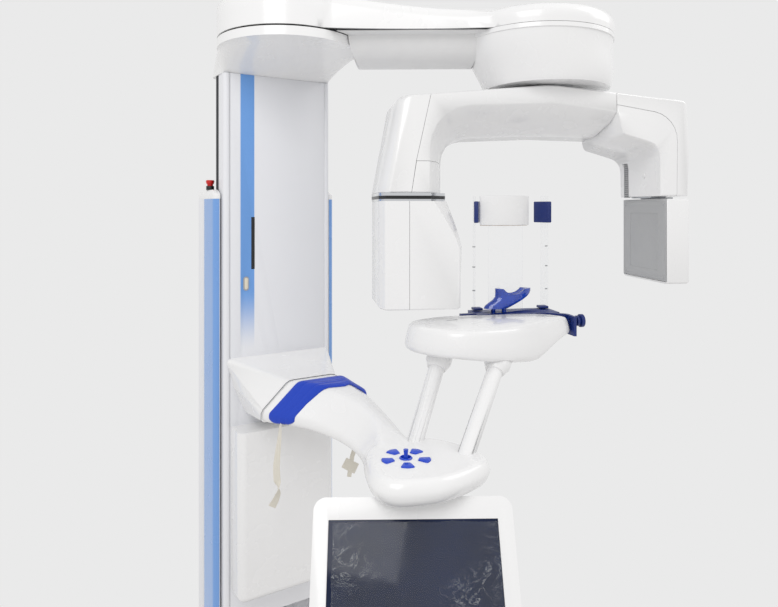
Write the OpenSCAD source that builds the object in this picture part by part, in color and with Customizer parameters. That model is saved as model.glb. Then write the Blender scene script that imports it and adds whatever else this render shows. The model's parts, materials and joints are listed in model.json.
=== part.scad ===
/* [Stand] */
// Width of the floor plate
base_w = 460; // [440:10:600]
// Depth of the floor plate
base_d = 190; // [180:5:260]
// Thickness of the floor plate
base_t = 12; // [8:1:20]
// Distance of the floor anchors from the edges of the plate
anchor_in = 30; // [26:1:36]
// Diameter of the floor anchor holes
anchor_d = 14; // [10:1:18]
// Height of the cover over the floor anchors
skirt_h = 70; // [50:5:90]
// Overall width of the fixed column
column_w = 315; // [311:1:330]
// Depth of the fixed column
column_d = 145; // [141:1:170]
// Height of the top of the fixed column profile
column_h = 1572; // [1560:2:1640]
// Thickness of the side walls of the fixed column
cheek_t = 14.5; // [12:0.5:16]
// Thickness of the back wall of the fixed column
back_t = 14; // [10:1:16]
// Width of the blue strip, front to back
strip_w = 84; // [60:2:100]
// Thickness of the blue strip
strip_t = 3; // [2:0.5:4]
// Height of the cap on the fixed column
cap_h = 22; // [18:1:30]
// Diameter of the emergency stop head
stop_d = 21; // [19:0.5:24]
// Spacing of the wall bracket holes
wall_hole_x = 180; // [120:10:220]
// Diameter of the wall bracket holes
wall_hole_d = 11; // [8:0.5:14]

/* [Moving column] */
// Overall width of the moving column
mover_w = 276; // [270:1:277]
// Depth of the wide front part of the moving column
mover_front_d = 50; // [44:1:54]
// Depth of the moving column
mover_d = 92; // [86:1:93]
// Height of the lower end of the moving column
mover_z0 = 560; // [548:1:570]
// Height of the upper end of the moving column
mover_z1 = 1871; // [1866:1:1880]
// Radius of the front corners
mover_r = 9; // [6:1:14]
// Width of the front panel
panel_w = 246; // [236:1:250]
// Thickness of the front panel
panel_t = 3; // [2:0.5:4]
// Width of the guide rails
rail_w = 20; // [16:1:24]
// Diameter of the lift rod
rod_d = 26; // [20:1:28]

/* [Upper arm] */
// Distance from the shoulder axis to the elbow axis
arm_l = 590; // [570:5:610]
// Direction of the upper arm in plan
arm_angle = -32.4; // [-38:0.2:-28]
// Radius of the shoulder housing
shoulder_r = 166; // [158:1:170]
// Radius of the elbow housing
elbow_r = 174; // [166:1:180]
// Height of the seam under the arm cover
seam_z = 1944; // [1940:1:1950]
// Wall of the moulded covers
wall = 4; // [3:0.5:5]
// Diameter of the arm shafts
shaft_d = 60; // [50:1:70]
// Radial clearance in the bearings
run_gap = 0.05; // [0.03:0.01:0.08]

/* [Rotating arm] */
// Direction of the rotating arm in plan
carm_angle = -23.8; // [-28:0.2:-18]
// Offset of the rotation axis from the elbow axis
offset_r = 21.8; // [16:0.2:26]
// Half depth of the rotating arm
carm_half = 95; // [90:1:98]
// Gap at the seams between covers
seam = 0.8; // [0.4:0.1:0.9]
// Diameter of the hollow rotation shaft
hub_d = 80; // [70:1:90]
// Width of the sensor plate
plate_w = 194; // [170:2:196]
// Height of the sensor plate
plate_h = 187; // [170:1:190]

/* [Patient table] */
// Height of the table top
table_z = 1300; // [1296:1:1304]
// Thickness of the table
table_t = 68; // [62:1:74]
// Direction of the table in plan
table_angle = -20; // [-24:0.5:-16]
// Diameter of the two posts
post_d = 33; // [28:1:38]
// Distance between the temple pads
temple_gap = 160; // [156:1:164]

/* [Control and screen] */
// Height of the top of the control pad
pad_z = 1092; // [1088:1:1096]
// Thickness of the control pad
pad_t = 50; // [44:1:56]
// Width of the screen housing
screen_w = 348; // [330:2:370]
// Height of the screen housing
screen_h = 318; // [290:2:330]
// Thickness of the screen housing
screen_t = 40; // [34:1:46]
// Tilt of the screen back from upright
screen_tilt = 29; // [24:1:34]

/* [Hidden] */
$fn = 64;
clear = 0.3;
column_y0 = -65;
column_y1 = column_y0 + column_d;
anchor_x = base_w - 2 * anchor_in;
anchor_y = base_d - 2 * anchor_in;
channel_w = column_w - 2 * cheek_t;
channel_y1 = column_y1 - back_t;
panel_y = column_y0 - 15;
mover_y1 = panel_y + mover_d;
waist_y = panel_y + mover_front_d;
waist_w = mover_w - 24;
mover_t = 6;
seal_d = 14;
cap_z = column_h + cap_h;
stop_x = -channel_w / 2 - 4.5;
stop_y = 2;
stop_collar_h = 10;
stop_stem_d = 8;
stop_travel = 4;
rail_x = 80;
rail_depth = 20;
carriage_w = 48;
carriage_l = 90;
lift_y = (mover_y1 + channel_y1) / 2;
lift_tube_d = 44;
lift_tube_z = [60, 1000];
rod_z = [530, 1500];
rod_arm_w = 60;
slot_x = -66.5;
slot_z = [1402, 1528];
slot_w = 9;
start_x = -84;
start_z = 1368;
start_w = 14;
start_h = 34;
cover_z = [633, 1030];
cover_d = 64;
cover_r = 20;
shoulder_y = -143;
shoulder_floor = seam_z - 40;
rim_h = 20;
gap_z = 4;
elbow_x = arm_l * cos(arm_angle);
elbow_y = shoulder_y + arm_l * sin(arm_angle);
hub_angle = -27.6;
hub_x = elbow_x + offset_r * cos(hub_angle);
hub_y = elbow_y + offset_r * sin(hub_angle);
hub_a = 14;
housing_z0 = 1827;
carm_top = 1824;
leg_z = 1583;
band_z = [1565, 1583];
head_z0 = 1329;
plate_a = 260;
sensor_z = [1377, 1571];
sensor_out = 319;
post_foot = [[116, -516], [166, -618]];
table_at = [hub_x - 172.5, hub_y - 10.8];
post_head = [table_at + [-123, 28], table_at + [-37, -63]];
post_seat = 20;
table_z0 = table_z - table_t;
head_dep = 128;
band_lat = 77;
head_mid = 95;
collar_d = post_d + 22;
collar_in = 24;
screen_at = [56, -592];
screen_yaw = -30;
screen_pivot_z = pad_z - 88;
stem_d = 36;
stem_h = 20;
arm_y = [-237.5, -500];
arm_top_z = 1165;
arm_low_z = 1080;

// Rounding of one corner p = [x, y, radius] between its neighbours a and b
function corner(a, p, b, n) =
    let (pa = [a[0] - p[0], a[1] - p[1]], pb = [b[0] - p[0], b[1] - p[1]],
        u = pa / norm(pa), w = pb / norm(pb),
        half = acos(max(-1, min(1, u * w))) / 2,
        c = [p[0], p[1]] + (u + w) / norm(u + w) * p[2] / sin(half),
        s = [p[0], p[1]] + u * p[2] / tan(half) - c,
        e = [p[0], p[1]] + w * p[2] / tan(half) - c,
        a0 = atan2(s[1], s[0]), d = atan2(e[1], e[0]) - a0,
        turn = d > 180 ? d - 360 : d < -180 ? d + 360 : d)
    [for (i = [0:n]) c + p[2] * [cos(a0 + turn * i / n), sin(a0 + turn * i / n)]];

// Outline through rounded corners
function rounded(v, n = 5) = let (m = len(v))
    [for (i = [0:m - 1]) each corner(v[(i + m - 1) % m], v[i], v[(i + 1) % m], n)];

// Corners of an outline moved inwards by t, for outlines that run clockwise (side = -1)
// or counter-clockwise (side = 1); the corners of a hollow get a fillet
function inset(v, t, side = -1) = let (m = len(v), fillet = t < wall ? 0.4 : 3) [for (i = [0:m - 1])
    let (p = v[i], a = v[(i + m - 1) % m], b = v[(i + 1) % m],
        u = [a[0] - p[0], a[1] - p[1]] / norm([a[0] - p[0], a[1] - p[1]]),
        w = [b[0] - p[0], b[1] - p[1]] / norm([b[0] - p[0], b[1] - p[1]]),
        half = acos(max(-1, min(1, u * w))) / 2,
        convex = side * (w[0] * u[1] - w[1] * u[0]) > 0,
        k = (convex ? 1 : -1) * t / sin(half),
        q = [p[0], p[1]] + (u + w) / norm(u + w) * k)
    [q[0], q[1], max(fillet, p[2] + (convex ? -t : t))]];

function mix(a, b, t) = a + (b - a) * t;

// Solid through outlines of equal length, counter-clockwise seen from the last one
module loft(s) {
    n = len(s[0]);
    m = len(s);
    polyhedron(points = [for (o = s) each o],
        faces = concat([[for (i = [0:n - 1]) i]], [[for (i = [n - 1:-1:0]) (m - 1) * n + i]],
            [for (j = [0:m - 2], i = [0:n - 1]) [j * n + i, (j + 1) * n + i, (j + 1) * n + (i + 1) % n]],
            [for (j = [0:m - 2], i = [0:n - 1]) [j * n + i, (j + 1) * n + (i + 1) % n, j * n + (i + 1) % n]]),
        convexity = 8);
}

// Rectangle with round corners, from its lower left corner
module round_rect(x, y, w, d, r) {
    translate([x + r, y]) square([w - 2 * r, d]);
    translate([x, y + r]) square([w, d - 2 * r]);
    for (i = [x + r, x + w - r], j = [y + r, y + d - r]) translate([i, j]) circle(r);
}

// Bar with round ends, standing in x and z, extruded along y
module oval_bar(w, h, y0, y1) {
    translate([0, y1, 0]) rotate([90, 0, 0]) linear_extrude(y1 - y0) {
        for (k = [-1, 1]) translate([0, k * (h - w) / 2]) circle(d = w);
        square([w, h - w], center = true);
    }
}

module tube(d, bore, z0, z1) {
    translate([0, 0, z0]) difference() {
        cylinder(d = d, h = z1 - z0);
        translate([0, 0, -1]) cylinder(d = bore, h = z1 - z0 + 2);
    }
}

// Stand
module base_plate() {
    color("dimgray") difference() {
        linear_extrude(base_t) round_rect(-base_w / 2, -base_d / 2, base_w, base_d, 12);
        for (i = [-1, 1], j = [-1, 1]) translate([i * anchor_x / 2, j * anchor_y / 2, -1])
            cylinder(d = anchor_d, h = base_t + 2);
    }
}

module base_skirt() {
    t = 3;
    color("whitesmoke") translate([0, 0, base_t]) difference() {
        linear_extrude(skirt_h - base_t) round_rect(-base_w / 2, -base_d / 2, base_w, base_d, 12);
        translate([0, 0, -1]) linear_extrude(skirt_h - base_t - t + 1)
            round_rect(-base_w / 2 + t, -base_d / 2 + t, base_w - 2 * t, base_d - 2 * t, 9);
        translate([0, 0, -1]) linear_extrude(skirt_h)
            round_rect(-column_w / 2 - 1, panel_y - 1, column_w + 2, column_y1 - panel_y + 2, 12);
    }
}

module column_outline(t = 0) {
    round_rect(-column_w / 2 + t, column_y0 + t, column_w - 2 * t, column_d - 2 * t, 12 - t);
}

// Side zone that the blue strip wraps, front nose included
module strip_zone(side) {
    difference() {
        intersection() {
            column_outline();
            translate([side < 0 ? -column_w / 2 : channel_w / 2 + 1, column_y0])
                square([cheek_t - 1, strip_w]);
        }
        column_outline(strip_t);
    }
}

module fixed_column() {
    color("gainsboro") translate([0, 0, base_t]) linear_extrude(column_h - base_t) difference() {
        column_outline();
        translate([-channel_w / 2, column_y0 - 1]) square([channel_w, channel_y1 - column_y0 + 1]);
        strip_zone(-1);
        strip_zone(1);
    }
}

module side_strips() {
    color("#7AA6E0") translate([0, 0, skirt_h + 1]) linear_extrude(column_h - skirt_h - 1) {
        strip_zone(-1);
        strip_zone(1);
    }
}

// U-shaped cap with a sloping shoulder all round
module column_cap() {
    slope = cap_h / 2;
    inner_w = waist_w + 8;
    color("white") difference() {
        union() {
            translate([0, 0, column_h]) linear_extrude(cap_h - slope) column_outline();
            hull() {
                translate([0, 0, cap_z - slope - 1]) linear_extrude(1) column_outline();
                translate([0, 0, cap_z - 1]) linear_extrude(1)
                    round_rect(-column_w / 2 + 4, column_y0 + 22, column_w - 8, column_d - 26, 10);
            }
        }
        translate([-inner_w / 2, waist_y - 4, column_h - 1])
            cube([inner_w, mover_y1 + 6 - waist_y + 4, cap_h + 2]);
        translate([-mover_w / 2 - 4, column_y0 - 1, column_h - 1])
            cube([mover_w + 8, waist_y + seal_d + 4 - column_y0, cap_h + 2]);
        translate([stop_x, stop_y, column_h - 1]) cylinder(d = stop_stem_d + 4, h = cap_h + 2);
        translate([-rod_arm_w / 2 - 4, mover_y1, column_h - 1])
            cube([rod_arm_w + 8, lift_y + 14 - mover_y1, cap_h + 2]);
    }
}

module wall_bracket() {
    t = 5;
    z0 = column_h - 130;
    color("silver") difference() {
        union() {
            translate([-120, column_y1, z0]) cube([240, 40, t]);
            translate([-120, column_y1, z0]) cube([240, t, 60]);
            translate([-120, column_y1 + 40 - t, z0]) cube([240, t, 60]);
        }
        for (i = [-1, 1]) translate([i * wall_hole_x / 2, column_y1 + 30, z0 + 34]) rotate([-90, 0, 0])
            cylinder(d = wall_hole_d, h = 20);
    }
}

module guide_rails() {
    z0 = base_t + 20;
    color("silver") for (i = [-1, 1])
        translate([i * rail_x - rail_w / 2, channel_y1 - rail_depth, z0])
            cube([rail_w, rail_depth, column_h - 12 - z0]);
}

// Gear box, outer tube and end bush of the lift drive
module lift_drive() {
    bush = 12;
    color("lightgray") {
        translate([-38, lift_y - 24, base_t]) cube([76, 48, lift_tube_z[0] - base_t]);
        translate([0, lift_y, 0]) {
            tube(lift_tube_d, rod_d + 4, lift_tube_z[0], lift_tube_z[1] - bush);
            tube(lift_tube_d, rod_d + 2 * run_gap, lift_tube_z[1] - bush, lift_tube_z[1]);
        }
    }
}

module stop_collar() {
    color("black") translate([stop_x, stop_y, 0]) {
        tube(stop_d - 2, stop_d - 6, cap_z, cap_z + stop_collar_h);
        tube(stop_stem_d + 4, stop_stem_d + 2 * run_gap, column_h, cap_z);
        tube(stop_d - 5, stop_stem_d + 2 * run_gap, cap_z, cap_z + 2);
    }
}

// Stem and flared head of the emergency stop
module stop_button() {
    z0 = cap_z + stop_collar_h;
    stem_z = column_h + stop_travel + clear;
    color("red") translate([stop_x, stop_y, 0]) {
        translate([0, 0, stem_z]) cylinder(d = stop_stem_d, h = z0 + stop_travel + 2 - stem_z);
        translate([0, 0, z0 - 3]) cylinder(d = stop_d - 7, h = 3 + stop_travel + 0.5);
        translate([0, 0, z0 + stop_travel + 0.5]) cylinder(d1 = stop_d - 4, d2 = stop_d, h = 8);
        translate([0, 0, z0 + stop_travel + 8.5]) cylinder(d1 = stop_d, d2 = stop_d - 4, h = 2);
    }
}

// Moving column
module mover_outline() {
    round_rect(-mover_w / 2, panel_y, mover_w, mover_front_d, mover_r);
    translate([-waist_w / 2, waist_y - 12]) square([waist_w, mover_d - mover_front_d + 12]);
}

module moving_column() {
    t = mover_t;
    color("white") difference() {
        translate([0, 0, mover_z0]) linear_extrude(mover_z1 - mover_z0) difference() {
            union() {
                mover_outline();
                translate([-mover_w / 2, waist_y - 2]) square([mover_w, seal_d + 2]);
            }
            translate([-mover_w / 2 + t, panel_y + t + panel_t]) square([mover_w - 2 * t, mover_front_d - 2 * t - panel_t]);
            translate([-waist_w / 2 + t, waist_y - t - 1]) square([waist_w - 2 * t, mover_d - mover_front_d + 1]);
            translate([-panel_w / 2 - seam / 2, panel_y - 1]) square([panel_w + seam, panel_t + 1]);
        }
        translate([start_x, 0, start_z]) oval_bar(start_w + 1, start_h + 1, panel_y, panel_y + 20);
        translate([slot_x - slot_w / 2 - 1, panel_y, slot_z[0] - 1])
            cube([slot_w + 2, panel_t + mover_t - 1, slot_z[1] - slot_z[0] + 2]);
    }
}

module rail_carriages() {
    rail_y0 = channel_y1 - rail_depth;
    color("dimgray") for (i = [-1, 1], z = [mover_z0 + 40, mover_z0 + 480])
        translate([i * rail_x - carriage_w / 2, 0, z]) difference() {
            translate([0, mover_y1, 0]) cube([carriage_w, channel_y1 - 4 - mover_y1, carriage_l]);
            translate([(carriage_w - rail_w) / 2 - run_gap, rail_y0 - run_gap, -1])
                cube([rail_w + 2 * run_gap, rail_depth, carriage_l + 2]);
        }
}

module lift_rod() {
    bracket = 20;
    color("silver") {
        translate([0, lift_y, rod_z[0]]) cylinder(d = rod_d, h = rod_z[1] - rod_z[0] + bracket);
        translate([-rod_arm_w / 2, mover_y1, rod_z[1]]) cube([rod_arm_w, lift_y + 8 - mover_y1, bracket]);
    }
}

module front_panel() {
    color("white") difference() {
        translate([-panel_w / 2 + seam / 2, panel_y, mover_z0])
            cube([panel_w - seam, panel_t, mover_z1 - mover_z0]);
        translate([slot_x - slot_w / 2, panel_y - 1, slot_z[0]])
            cube([slot_w, panel_t + 2, slot_z[1] - slot_z[0]]);
        translate([start_x, 0, start_z]) oval_bar(start_w, start_h, panel_y - 1, panel_y + panel_t + 1);
    }
}

module start_ring() {
    color("darkgray") translate([start_x, 0, start_z]) difference() {
        oval_bar(start_w - 0.2, start_h - 0.2, panel_y - 1.5, panel_y + 8);
        oval_bar(start_w - 5, start_h - 5, panel_y - 2, panel_y + 9);
    }
}

module start_button() {
    color("ivory") translate([start_x, 0, start_z])
        oval_bar(start_w - 5 - 2 * clear, start_h - 5 - 2 * clear, panel_y - 2.5, panel_y + 7);
}

// Moulded cover with rounded edges, open towards the column
module lower_cover() {
    w = panel_w - 4;
    color("white") difference() {
        hull() for (i = [-1, 1], z = [cover_z[0] + cover_r, cover_z[1] - 2], y = [0, cover_d - cover_r])
            translate([i * (w / 2 - cover_r), panel_y - y, z])
                sphere(cover_r, $fn = 32);
        translate([-w, panel_y, cover_z[0] - 30]) cube([2 * w, 60, cover_z[1] - cover_z[0] + 60]);
        translate([-w, panel_y - cover_d - 30, cover_z[1]]) cube([2 * w, cover_d + 60, 60]);
        translate([-w / 2 + 10, panel_y - cover_d + 10, cover_z[0] + 10])
            cube([w - 20, cover_d - 9, cover_z[1] - cover_z[0] - 20]);
    }
}

// Shoulder: upright rim over a form that eases from a rectangle to a circle
function shoulder_ring(q) = let (n = 64, w = pow(q, 1.5), z = mix(mover_z1, seam_z - gap_z - rim_h, q),
    hw = mover_w / 2 + 3, y0 = panel_y + 1, y1 = mover_y1 + 8)
    [for (i = [0:n - 1]) let (a = 360 * i / n, c = cos(a), s = sin(a),
        rx = hw * sign(c) * pow(abs(c), 0.28), ry = (y0 + y1) / 2 + (y1 - y0) / 2 * sign(s) * pow(abs(s), 0.28))
        [mix(rx, (shoulder_r - 3) * c, w), mix(ry, shoulder_y + (shoulder_r - 3) * s, w), z]];

module shoulder_housing() {
    z1 = seam_z - gap_z;
    color("white") difference() {
        union() {
            translate([0, shoulder_y, z1 - rim_h]) cylinder(r = shoulder_r, h = rim_h, $fn = 96);
            loft([for (i = [0:6]) shoulder_ring(i / 6)]);
        }
        translate([0, shoulder_y, shoulder_floor]) cylinder(d = shaft_d + 40, h = 100);
    }
}

module shoulder_bearing() {
    z1 = seam_z - gap_z;
    color("black") translate([0, shoulder_y, 0]) {
        tube(shaft_d + 40, shaft_d + 2 * run_gap, shoulder_floor, z1);
        tube(2 * shoulder_r - 24, shaft_d + 2 * run_gap, z1, seam_z - clear);
    }
}

// Frame of the upper arm, with s along the arm
module in_arm() {
    translate([0, shoulder_y, 0]) rotate([0, 0, arm_angle]) children();
}

module arm_frame() {
    h = 34;
    color("silver") in_arm() {
        difference() {
            union() {
                translate([0, -60, seam_z]) cube([arm_l, 120, h]);
                for (s = [0, arm_l]) translate([s, 0, seam_z]) cylinder(r = 100, h = h);
            }
            for (s = [150:90:arm_l - 150], i = [-1, 1])
                translate([s - 35, i * 28 - 22, seam_z - 1]) cube([70, 44, h + 2]);
            translate([arm_l, 0, seam_z - 1]) cylinder(d = shaft_d + 2 * run_gap, h = h + 2);
        }
        translate([0, 0, shoulder_floor + 1]) cylinder(d = shaft_d, h = seam_z + h - shoulder_floor - 1);
    }
}

// Half width and crown height of the arm cover at distance s
function arm_half(s) = mix(118, 142, pow(abs(2 * s / arm_l - 1.06), 1.7));
function arm_crown(s) = mix(2034, 1997, (1 - cos(180 * min(1, s / (arm_l * 0.8)))) / 2);
function arm_section(s, t) = [for (p = rounded([[-arm_half(s) + t, seam_z, 0.5],
    [arm_half(s) - t, seam_z, 0.5], [arm_half(s) - 8 - t, arm_crown(s) - 6 - t, 30],
    [-arm_half(s) + 8 + t, arm_crown(s) - 6 - t, 30]], 5)) [s, p[0], p[1]]];

// Disc with a rounded shoulder and a shallow dome
module disc(r, h, dome) {
    fillet = 24;
    rotate_extrude($fn = 96) polygon(concat([[0, 0], [r, 0], [r + 1, h - fillet]],
        [for (a = [0:15:90]) [r + 1 - fillet + fillet * cos(a), h - fillet + fillet * sin(a)]],
        [for (i = [1:6]) let (x = (r - fillet) * (1 - i / 6)) [x, h + dome * (1 - pow(x / (r - fillet), 2))]]));
}

module arm_form(t) {
    in_arm() {
        loft([for (i = [0:10]) arm_section(i * arm_l / 10, t)]);
        translate([0, 0, seam_z]) disc(shoulder_r - t, 84 - t, 12);
        translate([arm_l, 0, seam_z]) disc(elbow_r - t, 44 - t, 30);
    }
}

module arm_cover() {
    color("white") difference() {
        arm_form(0);
        translate([0, 0, -0.01]) arm_form(wall);
    }
}

// Curved underside between the two housings
module arm_belly() {
    depth = 62;
    half = 119;
    belly = [for (a = [0:12:180]) [half * cos(a), -depth * sin(a)]];
    color("lightgray") in_arm() difference() {
        translate([0, 0, seam_z]) rotate([90, 0, 90]) translate([0, 0, 60])
            linear_extrude(arm_l - 120) polygon(belly);
        translate([0, 0, seam_z - 100]) cylinder(r = shoulder_r + 3, h = 99.5, $fn = 96);
        translate([arm_l, 0, seam_z - 100]) cylinder(r = elbow_r + 3, h = 99.5, $fn = 96);
        translate([0, 0, seam_z - 1]) cylinder(r = shoulder_r + 3, h = 4, $fn = 96);
        translate([arm_l, 0, seam_z - 1]) cylinder(r = elbow_r + 3, h = 4, $fn = 96);
    }
}

// Elbow: rim, taper to the rotation axis, and the shaft that turns in the arm
module rotation_housing() {
    z1 = seam_z - gap_z;
    z_shaft = seam_z + 30;
    color("white") {
        difference() {
            union() {
                translate([elbow_x, elbow_y, z1 - rim_h]) cylinder(r = elbow_r, h = rim_h, $fn = 96);
                hull() {
                    translate([elbow_x, elbow_y, z1 - rim_h]) cylinder(r = elbow_r - 3, h = 1, $fn = 64);
                    translate([hub_x, hub_y, housing_z0]) cylinder(r = elbow_r - 26, h = 1, $fn = 64);
                }
            }
            translate([hub_x, hub_y, housing_z0 - 1]) cylinder(d = hub_d + 40, h = 50);
        }
        translate([elbow_x, elbow_y, z1]) cylinder(r = elbow_r - 12, h = gap_z - clear, $fn = 96);
        translate([elbow_x, elbow_y, z1]) cylinder(d = shaft_d, h = z_shaft - z1);
    }
}

module rotation_bearing() {
    color("black") translate([hub_x, hub_y, 0])
        tube(hub_d + 40, hub_d + 2 * run_gap, housing_z0 - 1.5, housing_z0 + 49);
}

// Rotating arm, drawn in its own frame: x along the arm, y to the back
module in_carm() {
    translate([hub_x, hub_y, 0]) rotate([0, 0, carm_angle]) translate([-hub_a, 0, 0]) children();
}

// Outline of the beam and the tube side: t runs from the front edge to the back,
// e from the narrow front face to the full side
function arch(t, e) = [
    [mix(-374, -392, e), leg_z, 2], [mix(-341, -352, e), mix(1793, 1797, e), 26],
    [-10, carm_top, 300], [145, 1810, 1], [145, mix(1766, 1718, t), 1],
    [0, mix(1783, 1721, t), 300], [mix(-283, -232, t), mix(1770, 1710, t), mix(95, 62, t)],
    [mix(-283, -232, t), leg_z, 2]];

// Outline of the sensor side
function sensor_leg(t) = [
    [145, 1810, 1], [314, 1794, 14], [321, 1690, 120], [316, leg_z - 6, 2], [250, leg_z - 6, 2],
    [mix(250, 248, t), mix(1690, 1668, t), 36], [mix(161, 150, t), mix(1716, 1696, t), 14],
    [145, mix(1764, 1716, t), 1]];

function at_depth(v, y, n) = [for (p = rounded(v, n)) [p[0], y, p[1]]];

carm_steps = [[0, 0], [0.4, 1], [0.9, 1], [1, 1]];
function step_y(i, t) = [-carm_half + 3, -60, 20, carm_half - 3][i] + (i == 0 ? t : i == 3 ? -t : 0);

module arch_form(t) {
    n = 5;
    loft(concat([at_depth(inset(arch(0, 0), t + 3), -carm_half + t, n)],
        [for (i = [0:3]) at_depth(inset(arch(carm_steps[i][0], carm_steps[i][1]), t), step_y(i, t), n)],
        [at_depth(inset(arch(1, 1), t + 3), carm_half - t, n)]));
}

module sensor_leg_form(t) {
    n = 4;
    loft([at_depth(inset(sensor_leg(0), t + 3), -carm_half + t, n),
        at_depth(inset(sensor_leg(0), t), -carm_half + 3 + t, n),
        at_depth(inset(sensor_leg(1), t), carm_half - 3 - t, n),
        at_depth(inset(sensor_leg(1), t + 3), carm_half - t, n)]);
}

// Region through the whole depth of the arm, from an outline in x and z
module through(v) {
    translate([0, 200, 0]) rotate([90, 0, 0]) linear_extrude(400) polygon(v);
}

tube_seam = [[-272.5, 1803], [-313, 1654], [-325, 1577]];
tube_split_z = 1652;
hub_hole = hub_d + 44;

// Openings that the welded frame passes through
module frame_way() {
    translate([-367, -31, leg_z - 6]) cube([38, 92, 14]);
    translate([130, -31, 1751]) cube([30, 92, 36]);
    translate([261, -31, leg_z - 14]) cube([40, 92, 16]);
}

// Brings a cover to the full depth of the arm
module full_depth() {
    resize([0, 2 * carm_half, 0]) children();
}

// Cover over the part of the arch inside the outline v
module arch_cover(v) {
    color("white") in_carm() full_depth() difference() {
        intersection() {
            arch_form(0);
            through(v);
        }
        arch_form(wall);
        translate([hub_a, 0, carm_top - 30]) cylinder(d = hub_hole, h = 60);
        frame_way();
    }
}

module beam_cover() {
    arch_cover([tube_seam[0] + [-3, 20], tube_seam[1], [tube_seam[1][0], tube_split_z + seam / 2],
        [-150, tube_split_z + seam / 2], [-150, 1690], [150, 1690], [150, 1850]]);
}

module tube_arm_outer() {
    g = [-seam, 0];
    arch_cover([tube_seam[0] + [-3, 20] + g, [-420, 1830], [-420, 1577], tube_seam[2] + g, tube_seam[1] + g]);
}

module tube_arm_inner() {
    arch_cover([[tube_seam[1][0], tube_split_z - seam / 2], tube_seam[2], [-200, tube_seam[2][1]],
        [-200, tube_split_z - seam / 2]]);
}

sensor_seam = rounded([[140, 1784, 1], [291, 1760, 66], [289, 1560, 1]], 6);
grille_at = [249, 62, 1618];
grille_size = [22, 86];
release_at = [250, -22, 1627];
release_d = 12;

// Region on the inner side of the seam, moved by g
module sensor_side(g) {
    translate([-g, 0, -g]) through(concat(sensor_seam, [[100, 1560], [100, 1700]]));
}

module sensor_arm_outer() {
    color("white") in_carm() full_depth() difference() {
        sensor_leg_form(0);
        sensor_leg_form(wall);
        sensor_side(0);
        translate([100, -100, 1690]) cube([45 + seam, 200, 200]);
        frame_way();
    }
}

module sensor_arm_inner() {
    color("white") in_carm() full_depth() difference() {
        intersection() {
            sensor_leg_form(0);
            sensor_side(seam);
        }
        sensor_leg_form(wall);
        translate([grille_at[0] - 10, grille_at[1] - grille_size[0] / 2, grille_at[2] - grille_size[1] / 2])
            cube([20, grille_size[0], grille_size[1]]);
        translate([release_at[0] - 10, release_at[1], release_at[2]]) rotate([0, 90, 0])
            cylinder(d = release_d + 2 * clear, h = 20);
        translate([100, -100, 1690]) cube([45 + seam, 200, 200]);
        frame_way();
    }
}

// Frame with two columns of slats
module vent_grille() {
    w = grille_size[0] - 0.6;
    h = grille_size[1] - 0.6;
    rim = 1.6;
    pitch = 5;
    color("dimgray") in_carm() translate([grille_at[0] - 0.6, grille_at[1], grille_at[2]]) {
        difference() {
            translate([0, -w / 2, -h / 2]) cube([5, w, h]);
            for (i = [-1, 1]) translate([-1, i * (w / 4 - rim / 4) - (w / 2 - 1.5 * rim) / 2, -h / 2 + rim])
                cube([4.5, w / 2 - 1.5 * rim, h - 2 * rim]);
        }
        for (i = [-1, 1], z = [-h / 2 + pitch:pitch:h / 2 - pitch])
            translate([0.4, i * (w / 4 - rim / 4) - (w / 2 - 1.5 * rim) / 2, z])
                cube([3.1, w / 2 - 1.5 * rim, 2.4]);
    }
}

module release_button() {
    color("whitesmoke") in_carm() translate([release_at[0] - 2.5, release_at[1], release_at[2]])
        rotate([0, 90, 0]) cylinder(d = release_d, h = 10);
}

// Welded spine that carries the tube and the sensor
module carm_frame() {
    spine = [[-366, 1600], [-330, 1600], [-318, 1752], [150, 1752], [262, 1752], [262, 1574], [300, 1574],
        [300, 1786], [-338, 1780]];
    color("silver") in_carm() difference() {
        union() {
            translate([0, 60, 0]) rotate([90, 0, 0]) linear_extrude(90) polygon(spine);
            translate([hub_a, 0, 1763]) cylinder(d = hub_hole - 8, h = carm_top + 1 - 1763);
            translate([hub_a, 0, 1780]) cylinder(d = hub_d, h = housing_z0 + 44 - 1780);
            translate([-366, -30, 1560]) cube([36, 90, 41]);
            translate([-366, -30, 1400]) cube([20, 90, 161]);
            translate([286, -60, 1400]) cube([14, 120, 175]);
        }
        for (a = [-230:70:-90]) translate([a - 25, -31, 1762]) cube([50, 92, 14]);
        for (a = [90:70:200]) translate([a, -31, 1762]) cube([50, 92, 14]);
    }
}

// Horizontal outline of the tube head at height z
function head_side(z) = z > 1461 ? mix(-217, -281, pow((z - 1461) / 109, 1.25)) : -217;
function head_back(z) = z > 1461 ? mix(-200, -237, pow((z - 1461) / 109, 1.25)) : mix(-206, -200, (z - head_z0) / (1461 - head_z0));
function head_outline(z, t) = [
    for (p = rounded([[-381 + t, -carm_half + t, 8], [head_side(z) - t, -carm_half + t, 6],
        [head_back(z) - t, -42, 30], [head_back(z) - t, carm_half - t, 14],
        [-392 + t, carm_half - t, 14], [-392 + t, -66, 20]], 4)) [p[0], p[1], z]];

module head_form(t) {
    z1 = band_z[0];
    loft([for (z = [head_z0 + t, head_z0 + t + 3, 1400, 1461, 1480, 1503, 1525, 1545, z1 + (t > 0 ? 1 : 0)])
        head_outline(z, t + (z < head_z0 + t + 1 ? 3 : 0))]);
}

head_split = -329;

module tube_head_outer() {
    color("white") in_carm() difference() {
        head_form(0);
        head_form(wall);
        translate([head_split, -150, head_z0 - 10]) cube([300, 300, 300]);
    }
}

module tube_head_inner() {
    color("white") in_carm() difference() {
        head_form(0);
        head_form(wall);
        translate([head_split + seam - 300, -150, head_z0 - 10]) cube([300, 300, 300]);
    }
}

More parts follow.
